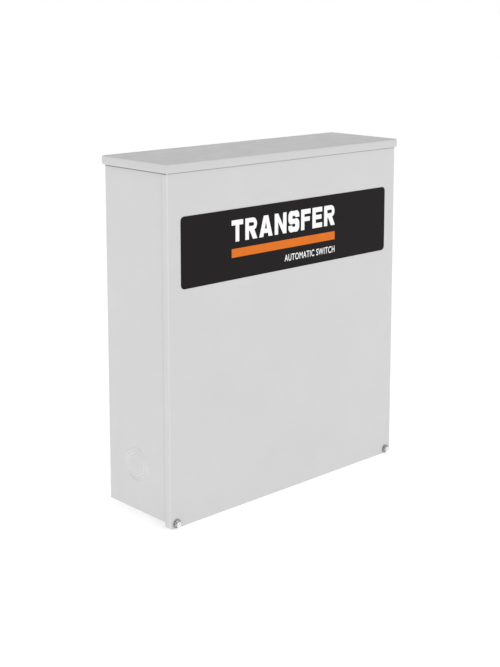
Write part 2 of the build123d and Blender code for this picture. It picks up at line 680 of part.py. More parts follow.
def limit_switches():
    """Two snap-action switches on the right drive plate, above and below the toggle arm."""
    z = lever_axis_z() + 2.6
    case = block(SWITCH_X, (-108, -74), (z, z + 16))
    case = fillet(case.edges().filter_by(Axis.X), 1.5)
    case -= rod("X", 1.6, (SWITCH_X[0] - 1, SWITCH_X[1] + 1), (-101, z + 12))
    case -= rod("X", 1.6, (SWITCH_X[0] - 1, SWITCH_X[1] + 1), (-81, z + 12))
    for y in (-102, -91, -80):
        case += block((111, 115), (y - 0.4, y + 0.4), (z + 16, z + 24))
    return separate([case, mirror_z(case)])


def switch_lever():
    """Leaf of the upper switch, pressed home by the toggle arm."""
    z = lever_axis_z()
    barrel = rod("X", 1.5, (SWITCH_X[0] + 0.5, SWITCH_X[1] - 0.5), (LEVER_AXIS_Y, z))
    across = (TOGGLE_X[0] + 0.5, TOGGLE_X[1])
    leaf = block(across, (LEVER_AXIS_Y, LEVER_AXIS_Y + LEAF_LENGTH), (z - LEAF_T / 2, z + LEAF_T / 2))
    return barrel + leaf


def generator_lever():
    """Leaf of the lower switch, sprung out towards the toggle arm."""
    lever = mirror_z(switch_lever())
    axis = Axis((0, LEVER_AXIS_Y, -lever_axis_z()), (1, 0, 0))
    return lever.rotate(axis, LEVER_SWING)


# ---- control column ----------------------------------------------------------------
RAIL_X = (124.0, 216.0)
RAIL_DEPTH = 7.5
RAIL_FRONT = PANEL_FRONT - RAIL_DEPTH
SOCKET_X = (186.0, 214.0)
FUSE_HINGE = (RAIL_FRONT - 44.0, RAIL_Z - 24.0)     # Y and Z of the carriers' hinge
CARRIER_SWING = 70.0


def din_rail():
    """Top-hat rail on the sub-panel."""
    web = block(RAIL_X, (PANEL_FRONT - 1, PANEL_FRONT), (RAIL_Z - 13.5, RAIL_Z + 13.5))
    rail = web
    for side in (-1, 1):
        inner = RAIL_Z + side * 13.5
        rail += block(RAIL_X, (RAIL_FRONT, PANEL_FRONT), (inner, inner - side))
        rail += block(RAIL_X, (RAIL_FRONT, RAIL_FRONT + 1), (inner - side, inner + side * 4))
    return rail


def fuse_place(index):
    low = FUSE_X0 + index * FUSE_W
    return low + RUN_GAP / 2, low + FUSE_W - RUN_GAP / 2


def fuse_bases():
    """Moulded bases of the fuse holders, each with a bay for its swing-out carrier."""
    bases = []
    for index in range(FUSE_COUNT):
        x = fuse_place(index)
        base = block(x, (RAIL_FRONT - 30, RAIL_FRONT), (RAIL_Z - 39, RAIL_Z + 39))
        cheek = block(x, (FUSE_HINGE[0] - 8, RAIL_FRONT - 30), (RAIL_Z - 33, RAIL_Z + 30))
        inside = (x[0] + 1.5, x[1] - 1.5)
        base += cheek
        base -= block(inside, (FUSE_HINGE[0] - 20, RAIL_FRONT - 12), (RAIL_Z - 29, RAIL_Z + 31))
        base -= block(inside, (FUSE_HINGE[0] - 20, RAIL_FRONT - 29), (RAIL_Z - 34, RAIL_Z + 31))
        pin = rod("X", 1.8, x, FUSE_HINGE)
        for z in (-35, 35):
            base -= rod("Y", 3, (RAIL_FRONT - 31, RAIL_FRONT - 12), ((x[0] + x[1]) / 2, RAIL_Z + z))
        bases.append(base + pin)
    return separate(bases)


def fuse_carrier(index):
    """Swing-out carrier that holds one cartridge fuse. It turns on the base's pin."""
    x0, x1 = fuse_place(index)
    x = (x0 + 1.8, x1 - 1.8)
    hinge_y, hinge_z = FUSE_HINGE
    body = block(x, (hinge_y - 9, hinge_y + 9), (RAIL_Z - 21, RAIL_Z + 28))
    knuckle = rod("X", 4.5, x, FUSE_HINGE)
    pull = block((x[0] + 2, x[1] - 2), (hinge_y - 16, hinge_y - 9), (RAIL_Z + 16, RAIL_Z + 26))
    carrier = body + knuckle + fillet(pull.edges().filter_by(Axis.X), 2)
    window = block((x[0] + 3, x[1] - 3), (hinge_y - 4, hinge_y + 10), (RAIL_Z - 14, RAIL_Z + 24))
    return carrier - window - rod("X", 2.0, (x[0] - 1, x[1] + 1), FUSE_HINGE)


def cartridge_fuse(index):
    """Glass or ceramic cartridge with end caps, in its carrier."""
    x0, x1 = fuse_place(index)
    middle = (x0 + x1) / 2
    y = FUSE_HINGE[0] + 1.5
    barrel = rod("Z", 3.1, (RAIL_Z - 8, RAIL_Z + 18), (middle, y))
    lower = rod("Z", 3.9, (RAIL_Z - 14, RAIL_Z - 6), (middle, y))
    upper = rod("Z", 3.9, (RAIL_Z + 16, RAIL_Z + 24), (middle, y))
    return barrel + lower + upper


def relay_socket():
    """Stepped socket on the DIN rail, with its screw terminals in two rows."""
    socket = block(SOCKET_X, (RAIL_FRONT - 16, RAIL_FRONT), (RAIL_Z - 36, RAIL_Z + 36))
    socket += block(SOCKET_X, (RAIL_FRONT - 26, RAIL_FRONT - 16), (RAIL_Z - 18, RAIL_Z + 18))
    for z in (-29, 29):
        for step in range(3):
            x = SOCKET_X[0] + 5 + 9 * step
            socket -= rod("Y", 3.2, (RAIL_FRONT - 17, RAIL_FRONT - 12), (x, RAIL_Z + z))
    return socket


def relay_case():
    """Clear plug-in relay cover, open towards its base."""
    x = (SOCKET_X[0] + 1, SOCKET_X[1] - 1)
    front = RAIL_FRONT - 26
    case = block(x, (front - 36, front), (RAIL_Z - 14, RAIL_Z + 14))
    case = fillet(case.edges().filter_by(Axis.Y) + case.faces().sort_by(Axis.Y)[0].edges(), 1.5)
    return case - block((x[0] + 1.2, x[1] - 1.2), (front - 34.8, front + 1), (RAIL_Z - 12.8, RAIL_Z + 12.8))


def relay_core():
    """Base, coil and contact stack inside the relay's cover."""
    middle = (SOCKET_X[0] + SOCKET_X[1]) / 2
    front = RAIL_FRONT - 26
    base = block((middle - 11.5, middle + 11.5), (front - 5, front), (RAIL_Z - 12.5, RAIL_Z + 12.5))
    coil = rod("Y", 7, (front - 25, front - 5), (middle, RAIL_Z - 4))
    frame = block((middle - 9, middle + 9), (front - 27, front - 25), (RAIL_Z - 12, RAIL_Z + 6))
    blades = []
    for side in (-1, 0, 1):
        x = middle + side * 6
        blades.append(block((x - 2, x + 2), (front - 30, front - 5), (RAIL_Z + 7, RAIL_Z + 8)))
    return separate([base, coil, frame] + blades)


STRIP_X = (150.0, 178.0)
STRIP_Z = (-66.0, 44.0)
STRIP_WAYS = 8
STRIP_DEPTH = 16.0


def strip_pitch():
    return (STRIP_Z[1] - STRIP_Z[0] - 16) / STRIP_WAYS


def strip_way(index):
    return STRIP_Z[0] + 8 + (index + 0.5) * strip_pitch()


def control_terminals():
    """Barrier terminal strip for the control wires."""
    front = PANEL_FRONT - STRIP_DEPTH
    strip = block(STRIP_X, (front, PANEL_FRONT), STRIP_Z)
    for index in range(STRIP_WAYS):
        z = strip_way(index)
        half = strip_pitch() / 2 - 1.2
        strip -= block((STRIP_X[0] - 1, STRIP_X[1] + 1), (front - 1, front + 7), (z - half, z + half))
    return strip


def terminal_screws():
    """Pan-head screws, two on each way of the control strip."""
    seat = PANEL_FRONT - STRIP_DEPTH + 7
    screws = []
    for index in range(STRIP_WAYS):
        for x in (STRIP_X[0] + 6, STRIP_X[1] - 6):
            z = strip_way(index)
            head = rod("Y", 3.6, (seat - 3.4, seat - 0.8), (x, z))
            slot = block((x - 5, x + 5), (seat - 4, seat - 2.4), (z - 0.5, z + 0.5))
            plate = block((x - 5.0, x + 5.0), (seat - 0.8, seat), (z - 4.2, z + 4.2))
            screws.append(head - slot + plate)
    return separate(screws)


# ---- neutral and ground ------------------------------------------------------------
NEUTRAL_X = (-168.0, -138.0)
NEUTRAL_Z = (-70.0, 80.0)
NEUTRAL_Y = (-62.0, -34.0)
NEUTRAL_WAYS = (-52.0, -18.0, 16.0)
NEUTRAL_SMALL = (40.0, 52.0, 64.0, 75.0)


def neutral_bar():
    """Aluminium neutral assembly: three large wire bores and four small ones, all along X."""
    bar = block(NEUTRAL_X, NEUTRAL_Y, (NEUTRAL_Z[0], 30)) + block(NEUTRAL_X, (-52, -34), (30, NEUTRAL_Z[1]))
    for z in NEUTRAL_WAYS:
        bar -= rod("X", 8.0, (NEUTRAL_X[0] - 1, NEUTRAL_X[1] + 1), (-46, z))
        bar -= rod("Y", 5.6, (NEUTRAL_Y[0] - 1, -46), (sum(NEUTRAL_X) / 2, z))
    for z in NEUTRAL_SMALL:
        bar -= rod("X", 2.6, (NEUTRAL_X[0] - 1, NEUTRAL_X[1] + 1), (-44, z))
        bar -= rod("Y", 2.4, (-53, -44), (sum(NEUTRAL_X) / 2, z))
    return bar


def neutral_screws():
    middle = sum(NEUTRAL_X) / 2
    screws = []
    for z in NEUTRAL_WAYS:
        front = NEUTRAL_Y[0] - 3
        socket = Rot(90, 0, 0) * extrude(RegularPolygon(3, 6), 4, both=True)
        screws.append(rod("Y", 5.5, (front, front + 9), (middle, z)) - Pos(middle, front, z) * socket)
    for z in NEUTRAL_SMALL:
        screw = rod("Y", 2.3, (-55.5, -47.5), (middle, z))
        screws.append(screw - block((middle - 3, middle + 3), (-56, -54.5), (z - 0.4, z + 0.4)))
    return separate(screws)


def neutral_insulators():
    """Moulded stand-offs between the neutral bar and the sub-panel."""
    middle = sum(NEUTRAL_X) / 2
    posts = []
    for z in (-35, 48):
        post = rod("Y", 11, (NEUTRAL_Y[1], PANEL_FRONT), (middle, z))
        waist = rod("Y", 12, (-27, -21), (middle, z)) - rod("Y", 9, (-28, -20), (middle, z))
        posts.append(post - waist)
    return separate(posts)


GROUND_X = (40.0, 160.0)
GROUND_Z = -222.0
GROUND_WAYS = 8


def ground_bar():
    bar = block(GROUND_X, (-18, -SHEET - 3), (GROUND_Z - 6, GROUND_Z + 6))
    feet = [block((x - 8, x + 8), (-SHEET - 3, -SHEET), (GROUND_Z - 6, GROUND_Z + 6)) for x in (50, 150)]
    bar += feet
    for index in range(GROUND_WAYS):
        x = ground_way(index)
        bar -= rod("Z", 3.0, (GROUND_Z - 7, GROUND_Z + 7), (x, -11))
        bar -= rod("Y", 2.6, (-19, -11), (x, GROUND_Z))
    return bar


def ground_way(index):
    return GROUND_X[0] + 11 + index * 14.0


def ground_screws():
    screws = []
    for index in range(GROUND_WAYS):
        x = ground_way(index)
        screw = rod("Y", 4.2, (-22, -19.5), (x, GROUND_Z)) + rod("Y", 2.5, (-19.5, -14.2), (x, GROUND_Z))
        screws.append(screw - block((x - 5, x + 5), (-23, -21), (GROUND_Z - 0.6, GROUND_Z + 0.6)))
    return separate(screws)


# ---- control wiring ----------------------------------------------------------------
WIRE_BEND = 5.0
WAY_SEAT_Y = PANEL_FRONT - STRIP_DEPTH + 7.0     # floor of a way in the control strip
FUSE_WIRE_Y = RAIL_FRONT - 20.0
SENSE_LANE_Z = 178.0
RIGHT_LANE_X = 224.0


def wire(points):
    """An insulated wire along straight runs joined by arcs."""
    path = FilletPolyline(*points, radius=WIRE_BEND)
    start = Vector(points[0])
    direction = Vector(points[1]) - start
    return sweep(Plane(origin=start, z_dir=direction) * Circle(WIRE_R), path=path)


def way_end(index, side):
    """Where a wire ends on the control strip: side -1 is the left row of screws, 1 the right row."""
    x = STRIP_X[0] + 2.2 if side < 0 else STRIP_X[1] - 2.2
    return x, WAY_SEAT_Y - 0.8 - WIRE_R - 0.05, strip_way(index)


def fuse_end(index, side):
    """Where a wire enters a fuse base: side 1 is the top, -1 the bottom."""
    return sum(fuse_place(index)) / 2, FUSE_WIRE_Y, RAIL_Z + side * 39


def sense_wires():
    """From the two utility straps, over the drive, to the first two fuse holders."""
    wires = []
    for index, x in enumerate(POLES):
        lane = SENSE_LANE_Z + 6 * index
        end = fuse_end(index, 1)
        tang_y = PEDESTAL_FRONT - STRAP_T / 2
        out = x + STRAP_W / 2 + 14
        points = [(x + STRAP_W / 2 + 0.05, tang_y, SHELF_Z + 26), (out, tang_y, SHELF_Z + 26)]
        points += [(out, FUSE_WIRE_Y, lane), (end[0], FUSE_WIRE_Y, lane), end]
        wires.append(wire(points))
    return separate(wires)


def load_wire():
    """From the second pole's load lug, along the right gutter, to the third fuse holder."""
    end = fuse_end(FUSE_COUNT - 1, 1)
    lane = SENSE_LANE_Z + 12
    y = LOAD_LUG_FRONT + 15
    low = LOAD_BOTTOM + 12
    points = [(POLES[1] + LUG_W / 2 + 0.05, y, low), (RIGHT_LANE_X, y, low)]
    points += [(RIGHT_LANE_X, y, lane), (end[0], FUSE_WIRE_Y, lane), end]
    return wire(points)


def control_wires():
    """From the fuse holders and the relay socket down to the control strip."""
    wires = []
    for index in range(FUSE_COUNT):
        start = fuse_end(index, -1)
        end = way_end(STRIP_WAYS - 1 - index, -1)
        lane = STRIP_X[0] - 10 - 5 * index
        turn = STRIP_Z[1] + 26 - 7 * index
        points = [start, (start[0], start[1], turn), (lane, end[1], turn - 8), (lane, end[1], end[2]), end]
        wires.append(wire(points))
    for index in range(3):
        x = SOCKET_X[0] + 5 + 9 * index
        start = (x, RAIL_FRONT - 10, RAIL_Z - 36)
        end = way_end(STRIP_WAYS - 3 + index, 1)
        lane = STRIP_X[1] + 12 + 6 * index
        points = [start, (x, start[1], 72), (lane, end[1], 60), (lane, end[1], end[2]), end]
        wires.append(wire(points))
    return separate(wires)


def coil_leads():
    """Two from each coil, down behind the coils and across to the lower ways of the control strip."""
    wires = []
    for coil, side in enumerate((1, -1)):
        for lead in range(2):
            order = 2 * coil + lead
            end = way_end(3 - order, -1)
            x = COIL_X - 12 + 24 * lead + 5 * side
            start = (x, ARMATURE_Y + math.sqrt(COIL_R**2 - (x - COIL_X) ** 2) + 1.6, side * (COIL_Z[0] + 8))
            back = PANEL_FRONT - 4 - 4 * order
            turn = -98.0 - 5 * order
            lane = STRIP_X[0] - 10 - 5 * order
            points = [start, (x, back, start[2]), (x, back, turn), (lane, back, turn)]
            points += [(lane, end[1], turn + 14), (lane, end[1], end[2]), end]
            wires.append(wire(points))
    return separate(wires)


def build():
    """Every node's name and shape."""
    nodes = {
        "enclosure_body": enclosure_body(),
        "bottom_panel": bottom_panel(),
        "rain_hood": rain_hood(),
        "header_rail": header_rail(),
        "cover_nuts": cover_nuts(),
        "front_cover": front_cover(),
        "cover_label": cover_label(),
        "wiring_diagram": wiring_diagram(),
        "cover_screw_left": cover_screw(-SCREW_X),
        "cover_screw_right": cover_screw(SCREW_X),
        "sub_panel": sub_panel(),
        "panel_studs": panel_studs(),
        "panel_nuts": panel_nuts(),
        "mechanism_base": mechanism_base(),
        "fixed_contacts": fixed_contacts(),
        "load_bars": load_bars(),
        "terminal_lugs": terminal_lugs(),
        "lug_screws": lug_screws(),
        "arc_plates": arc_plates(),
        "arc_cheeks": arc_cheeks(),
        "load_braids": load_braids(),
        "crossbar": crossbar(),
        "moving_contacts": moving_contacts(),
        "transfer_shaft": transfer_shaft(),
        "crank": crank(),
        "toggle_arm": toggle_arm(),
        "manual_handle": manual_handle(),
        "handle_grip": handle_grip(),
        "toggle_spring": toggle_spring(),
        "spring_post": spring_post(),
        "drive_plates": drive_plates(),
        "coil_bobbins": with_mirror(coil_bobbin),
        "coil_windings": with_mirror(coil_winding),
        "coil_frames": with_mirror(coil_frame),
        "armature": armature(),
        "limit_switches": limit_switches(),
        "utility_switch_lever": switch_lever(),
        "generator_switch_lever": generator_lever(),
        "din_rail": din_rail(),
        "fuse_bases": fuse_bases(),
        "relay_socket": relay_socket(),
        "relay_case": relay_case(),
        "relay_core": relay_core(),
        "control_terminals": control_terminals(),
        "terminal_screws": terminal_screws(),
        "neutral_bar": neutral_bar(),
        "neutral_screws": neutral_screws(),
        "neutral_insulators": neutral_insulators(),
        "ground_bar": ground_bar(),
        "ground_screws": ground_screws(),
        "sense_wires": sense_wires(),
        "load_wire": load_wire(),
        "control_wires": control_wires(),
        "coil_leads": coil_leads(),
    }
    for index in range(FUSE_COUNT):
        nodes[f"fuse_carrier_{index + 1}"] = fuse_carrier(index)
        nodes[f"cartridge_fuse_{index + 1}"] = cartridge_fuse(index)
    return nodes


def main():
    os.makedirs("parts", exist_ok=True)
    for name, shape in build().items():
        export_step(shape, f"parts/{name}.step")


main()
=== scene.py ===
"""Looks for a wall-mounted automatic transfer switch.

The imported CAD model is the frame. The sheet metal, mouldings and terminals are shown as they are, with
procedural materials; the lettering, springs, windings, braids and small fittings are built here.
Lengths are in metres, +X right seen from the front, +Y into the wall, +Z up.
"""

import json
import math

import bmesh
import bpy
from mathutils import Matrix, Vector


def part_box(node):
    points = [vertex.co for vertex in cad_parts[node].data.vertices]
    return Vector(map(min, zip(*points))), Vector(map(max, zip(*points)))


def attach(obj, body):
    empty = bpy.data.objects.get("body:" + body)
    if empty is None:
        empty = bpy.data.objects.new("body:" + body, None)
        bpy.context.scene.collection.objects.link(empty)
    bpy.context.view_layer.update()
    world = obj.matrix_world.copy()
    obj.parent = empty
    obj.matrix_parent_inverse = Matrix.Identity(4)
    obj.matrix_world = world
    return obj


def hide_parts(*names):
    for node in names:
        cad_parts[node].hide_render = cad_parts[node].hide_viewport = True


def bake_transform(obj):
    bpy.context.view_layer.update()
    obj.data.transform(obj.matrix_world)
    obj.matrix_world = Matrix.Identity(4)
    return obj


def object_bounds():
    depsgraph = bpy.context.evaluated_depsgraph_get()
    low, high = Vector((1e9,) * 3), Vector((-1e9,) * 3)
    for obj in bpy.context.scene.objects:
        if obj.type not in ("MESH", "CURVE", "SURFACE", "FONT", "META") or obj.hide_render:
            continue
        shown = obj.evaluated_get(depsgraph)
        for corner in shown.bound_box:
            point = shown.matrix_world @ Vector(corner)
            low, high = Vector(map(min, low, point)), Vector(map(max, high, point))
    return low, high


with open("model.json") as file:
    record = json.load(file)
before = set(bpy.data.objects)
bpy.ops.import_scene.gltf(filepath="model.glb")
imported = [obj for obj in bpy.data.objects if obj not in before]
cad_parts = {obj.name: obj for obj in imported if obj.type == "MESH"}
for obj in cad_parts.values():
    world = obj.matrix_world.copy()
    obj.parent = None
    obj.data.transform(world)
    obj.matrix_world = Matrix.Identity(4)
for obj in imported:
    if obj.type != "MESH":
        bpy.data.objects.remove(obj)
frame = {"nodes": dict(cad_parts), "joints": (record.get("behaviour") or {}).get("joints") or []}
cad_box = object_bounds()
nodes = frame["nodes"]
joints = {joint["name"]: joint for joint in frame["joints"]}

MM = 0.001
ROOT = "enclosure"
SHAFT_AXIS = Vector(joints["transfer_turn"]["pos_m"])
HALF_THROW = math.radians(joints["transfer_turn"]["range_deg"][1] / 2)


# ---- what the frame says ------------------------------------------------------------
def extent(node, keep=None):
    """Lowest and highest corner of the vertices of a CAD node that keep() accepts."""
    places = [v.co for v in nodes[node].data.vertices if keep is None or keep(v.co)]
    low = Vector([min(p[axis] for p in places) for axis in range(3)])
    high = Vector([max(p[axis] for p in places) for axis in range(3)])
    return low, high


def on_arm(reach, across=0.0):
    """A point (Y, Z) in the moving arm's own directions at rest: along it from the shaft, and above it."""
    y = SHAFT_AXIS.y - reach * math.cos(HALF_THROW) + across * math.sin(HALF_THROW)
    z = SHAFT_AXIS.z + reach * math.sin(HALF_THROW) + across * math.cos(HALF_THROW)
    return y, z


# ---- shader nodes -------------------------------------------------------------------
class Shade:
    """A principled material, with short calls for the textures that drive it."""

    def __init__(self, name, roughness, metallic=0.0, **sockets):
        self.material = bpy.data.materials.new(name)
        self.material.use_nodes = True
        self.tree = self.material.node_tree
        self.surface = self.tree.nodes["Principled BSDF"]
        self.surface.inputs["Roughness"].default_value = roughness
        self.surface.inputs["Metallic"].default_value = metallic
        for socket, value in sockets.items():
            self.surface.inputs[socket.replace("_", " ")].default_value = value
        self.place = self.add("ShaderNodeTexCoord").outputs["Object"]
        self.normal = None

    def add(self, kind, **inputs):
        node = self.tree.nodes.new(kind)
        for name, value in inputs.items():
            self.feed(node.inputs[name.replace("_", " ")], value)
        return node

    def feed(self, socket, value):
        if isinstance(value, bpy.types.NodeSocket):
            self.tree.links.new(value, socket)
        else:
            socket.default_value = value

    def noise(self, size, detail=2.0, rough=0.5, stretch=(1, 1, 1)):
        """Soft noise whose features are about this size, in metres."""
        mapping = self.add("ShaderNodeMapping", Vector=self.place)
        mapping.inputs["Scale"].default_value = stretch
        vector = mapping.outputs["Vector"]
        node = self.add("ShaderNodeTexNoise", Vector=vector, Scale=1 / size, Detail=detail, Roughness=rough)
        return node.outputs["Fac"]

    def cells(self, size, output="Distance"):
        """Cells about this size, in metres: the distance to each one's centre, or a colour for each."""
        return self.add("ShaderNodeTexVoronoi", Vector=self.place, Scale=1 / size).outputs[output]

    def remap(self, value, low, high, to_low=0.0, to_high=1.0):
        """Takes low..high to to_low..to_high, and holds the ends beyond them."""
        node = self.add("ShaderNodeMapRange", Value=value)
        limits = {"From Min": low, "From Max": high, "To Min": to_low, "To Max": to_high}
        for name, number in limits.items():
            node.inputs[name].default_value = number
        return node.outputs["Result"]

    def maths(self, operation, a, b=0.0):
        node = self.add("ShaderNodeMath")
        node.operation = operation
        self.feed(node.inputs[0], a)
        self.feed(node.inputs[1], b)
        return node.outputs["Value"]

    def mix(self, factor, low, high):
        node = self.add("ShaderNodeMix")
        node.data_type = "RGBA"
        self.feed(node.inputs["Factor"], factor)
        self.feed(node.inputs["A"], low if isinstance(low, bpy.types.NodeSocket) else (*low, 1))
        self.feed(node.inputs["B"], high if isinstance(high, bpy.types.NodeSocket) else (*high, 1))
        return node.outputs["Result"]

    def colour(self, value):
        self.feed(self.surface.inputs["Base Color"], value)

    def roughness(self, value):
        self.feed(self.surface.inputs["Roughness"], value)

    def metallic(self, value):
        self.feed(self.surface.inputs["Metallic"], value)

    def relief(self, height, depth, strength):
        """Adds a bump of this depth, in metres, on top of those added before."""
        node = self.add("ShaderNodeBump", Height=height)
        node.inputs["Strength"].default_value = strength
        node.inputs["Distance"].default_value = depth
        if self.normal is not None:
            self.tree.links.new(self.normal, node.inputs["Normal"])
        self.normal = node.outputs["Normal"]
        self.feed(self.surface.inputs["Normal"], self.normal)

    def axis(self, name):
        """The X, Y or Z of the shaded point, in metres."""
        separate = self.add("ShaderNodeSeparateXYZ", Vector=self.place)
        return separate.outputs[name]

    def between(self, value, low, high):
        """1 where low < value < high, else 0."""
        above = self.maths("GREATER_THAN", value, low)
        below = self.maths("LESS_THAN", value, high)
        return self.maths("MULTIPLY", above, below)


# ---- materials ----------------------------------------------------------------------
def outer_faces(shade, node):
    """1 on a node's outermost side walls, and 1 on its frontmost face."""
    low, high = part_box(node)
    across = shade.maths("ABSOLUTE", shade.axis("X"))
    flank = shade.maths("GREATER_THAN", across, high.x - 0.2 * MM)
    front = shade.maths("LESS_THAN", shade.axis("Y"), low.y + 0.2 * MM)
    return flank, front


def lip_painted_shadow(shade, node):
    """A painted shadow: a dark line just under the hood's lip, thicker on the side walls."""
    flank, front = outer_faces(shade, node)
    drop = shade.maths("SUBTRACT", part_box("rain_hood")[0].z, shade.axis("Z"))
    thin = shade.remap(drop, 0.8 * MM, 1.7 * MM, 0.6, 0.0)
    thick = shade.remap(drop, 1.4 * MM, 2.6 * MM, 0.95, 0.0)
    on_front = shade.maths("MULTIPLY", front, thin)
    return shade.maths("MAXIMUM", on_front, shade.maths("MULTIPLY", flank, thick))


def flange_painted_shadow(shade, node):
    """A fainter painted shadow line on the side walls, along the rear edge of the cover's flanges."""
    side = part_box("front_cover")[1].x - 1 * MM
    rear = extent("front_cover", lambda p: p.x > side)[1].y
    flank = outer_faces(shade, node)[0]
    behind = shade.maths("SUBTRACT", shade.axis("Y"), rear)
    return shade.maths("MULTIPLY", flank, shade.remap(behind, 3.0 * MM, 4.8 * MM, 0.3, 0.0))


def knockout_painted_highlight(shade, node):
    """A painted highlight in the grooves of the knockouts, mostly in their upright stretches."""
    low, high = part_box(node)
    front, rear = low.y + 20 * MM, high.y - 6 * MM
    top_of_cut, foot_of_cut = 0.12 * MM, 1.2 * MM
    depth = shade.maths("SUBTRACT", high.x, shade.maths("ABSOLUTE", shade.axis("X")))
    cut = shade.between(depth, top_of_cut, foot_of_cut)
    grooves = shade.maths("MULTIPLY", cut, shade.between(shade.axis("Y"), front, rear))
    lowest, highest = extent(
        node, lambda p: top_of_cut < high.x - abs(p.x) < foot_of_cut and front < p.y < rear
    )
    reach = (highest.z - lowest.z) / 2
    rise = shade.maths("ABSOLUTE", shade.maths("SUBTRACT", shade.axis("Z"), lowest.z + reach))
    return shade.maths("MULTIPLY", grooves, shade.remap(rise, 0.5 * reach, 0.95 * reach, 1.0, 0.35))


def bend_painted_highlight(shade, node):
    """A painted highlight on the bends down the sides of the cover."""
    depth = shade.maths("SUBTRACT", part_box(node)[1].x, shade.maths("ABSOLUTE", shade.axis("X")))
    return shade.maths("MULTIPLY", shade.between(depth, 0.3 * MM, 2.2 * MM), 0.6)


def powder_coat(name, colour, roughness=0.42, marks=()):
    """Polyester powder over steel: orange peel in two sizes, faint clouding, dust in the grain, and marks of
    painted shade and painted highlight.

    Each mark is a mask's function, the node it is for, and how much lighter than the coat the mark is.
    """
    shade = Shade(name, roughness)
    peel = shade.noise(2.4 * MM, detail=1.5)
    grain = shade.noise(0.45 * MM, detail=1.0)
    cloud = shade.noise(90 * MM, detail=3.0, rough=0.6)
    smudge = shade.noise(26 * MM, detail=4.0, rough=0.65)
    dark = [c * 0.98 for c in colour]
    light = [min(1.0, c * 1.012) for c in colour]
    base = shade.mix(shade.remap(cloud, 0.3, 0.7), dark, light)
    speckled = shade.mix(shade.remap(grain, 0.25, 0.75, 0.0, 0.18), base, [c * 0.88 for c in colour])
    for mask, node, gain in marks:
        speckled = shade.mix(mask(shade, node), speckled, [min(1.0, c * gain) for c in colour])
    shade.colour(speckled)
    shade.roughness(shade.remap(smudge, 0.35, 0.7, roughness - 0.05, roughness + 0.09))
    shade.relief(peel, 0.035 * MM, 0.55)
    shade.relief(grain, 0.012 * MM, 0.5)
    return shade.material


def film(name, colour, roughness):
    """Printed polyester film: very even, with a satin grain and a few faint scuffs."""
    shade = Shade(name, roughness, Specular_IOR_Level=0.07)
    grain = shade.noise(0.5 * MM, detail=1.0)
    scuff = shade.noise(5 * MM, detail=5.0, rough=0.7, stretch=(1.0, 1.0, 6.0))
    worn = shade.remap(scuff, 0.62, 0.8, 0.0, 0.35)
    shade.colour(shade.mix(worn, colour, [c * 0.9 + 0.012 for c in colour]))
    shade.roughness(shade.remap(scuff, 0.4, 0.8, roughness - 0.04, roughness + 0.12))
    shade.relief(grain, 0.006 * MM, 0.6)
    return shade.material


def ink(name, colour):
    """Screen-printed ink: a little rough, with a fine mesh in its surface."""
    shade = Shade(name, 0.5, Specular_IOR_Level=0.07)
    mesh = shade.cells(0.35 * MM)
    cloud = shade.noise(14 * MM, detail=3.0)
    shade.colour(shade.mix(shade.remap(cloud, 0.35, 0.7), colour, [c * 0.93 for c in colour]))
    shade.relief(mesh, 0.01 * MM, 0.5)
    return shade.material


def plated_steel(name):
    """Bright zinc plating: cool and warm mottling, drawn marks, dull patches."""
    shade = Shade(name, 0.3, metallic=1.0)
    red, green, blue = 0.63, 0.64, 0.64
    warm = (red * 1.03, green, blue * 0.94)
    cool = (red * 0.95, green * 0.975, blue)
    mottle = shade.noise(7 * MM, detail=4.0, rough=0.65)
    marks = shade.noise(0.5 * MM, detail=2.0, stretch=(1.0, 1.0, 0.08))
    shade.colour(shade.mix(shade.remap(mottle, 0.35, 0.65), cool, warm))
    shade.roughness(shade.remap(mottle, 0.3, 0.75, 0.22, 0.46))
    shade.relief(marks, 0.012 * MM, 0.6)
    return shade.material


def screw_plating_with_painted_shade(name):
    """The cover screws' plating: bright on the hexagon, with painted shade darkening the washer round it."""
    low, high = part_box("cover_screw_right")
    centre = (low + high) / 2
    shade = Shade(name, 0.24, metallic=1.0)
    across = shade.maths("SUBTRACT", shade.maths("ABSOLUTE", shade.axis("X")), centre.x)
    up = shade.maths("SUBTRACT", shade.axis("Z"), centre.z)
    square = shade.maths("ADD", shade.maths("MULTIPLY", across, across), shade.maths("MULTIPLY", up, up))
    # The rim is painted shade: the washer round the hexagon is darkened in its colour.
    rim = shade.remap(shade.maths("SQRT", square), 4.2 * MM, 5.0 * MM, 0.0, 0.9)
    mottle = shade.noise(2.5 * MM, detail=4.0, rough=0.65)
    bright = shade.mix(shade.remap(mottle, 0.35, 0.65), (0.88, 0.88, 0.87), (0.74, 0.75, 0.76))
    shade.colour(shade.mix(rim, bright, (0.2, 0.2, 0.2)))
    shade.roughness(shade.remap(mottle, 0.3, 0.75, 0.18, 0.34))
    shade.relief(mottle, 0.02 * MM, 0.5)
    return shade.material


def machined_steel(name, tint=(0.5, 0.5, 0.51), roughness=0.34, along=(0.05, 1.0, 1.0)):
    """Plain steel with tool marks that run one way, oil-darkened in places."""
    shade = Shade(name, roughness, metallic=1.0)
    marks = shade.noise(0.35 * MM, detail=3.0, stretch=along)
    oil = shade.noise(12 * MM, detail=4.0, rough=0.7)
    dark = [c * 0.72 for c in tint]
    shade.colour(shade.mix(shade.remap(oil, 0.4, 0.75), tint, dark))
    shade.roughness(shade.remap(marks, 0.3, 0.7, roughness - 0.06, roughness + 0.12))
    shade.relief(marks, 0.015 * MM, 0.7)
    return shade.material


def galvanised(name):
    """Hot-dip zinc with its spangle."""
    shade = Shade(name, 0.42, metallic=1.0)
    spangle = shade.cells(9 * MM, output="Color")
    tone = shade.add("ShaderNodeRGBToBW", Color=spangle).outputs["Val"]
    shade.colour(shade.mix(tone, (0.47, 0.48, 0.5), (0.66, 0.67, 0.68)))
    shade.roughness(shade.remap(tone, 0.0, 1.0, 0.33, 0.5))
    grit = shade.noise(0.8 * MM, detail=3.0)
    shade.relief(grit, 0.015 * MM, 0.5)
    return shade.material


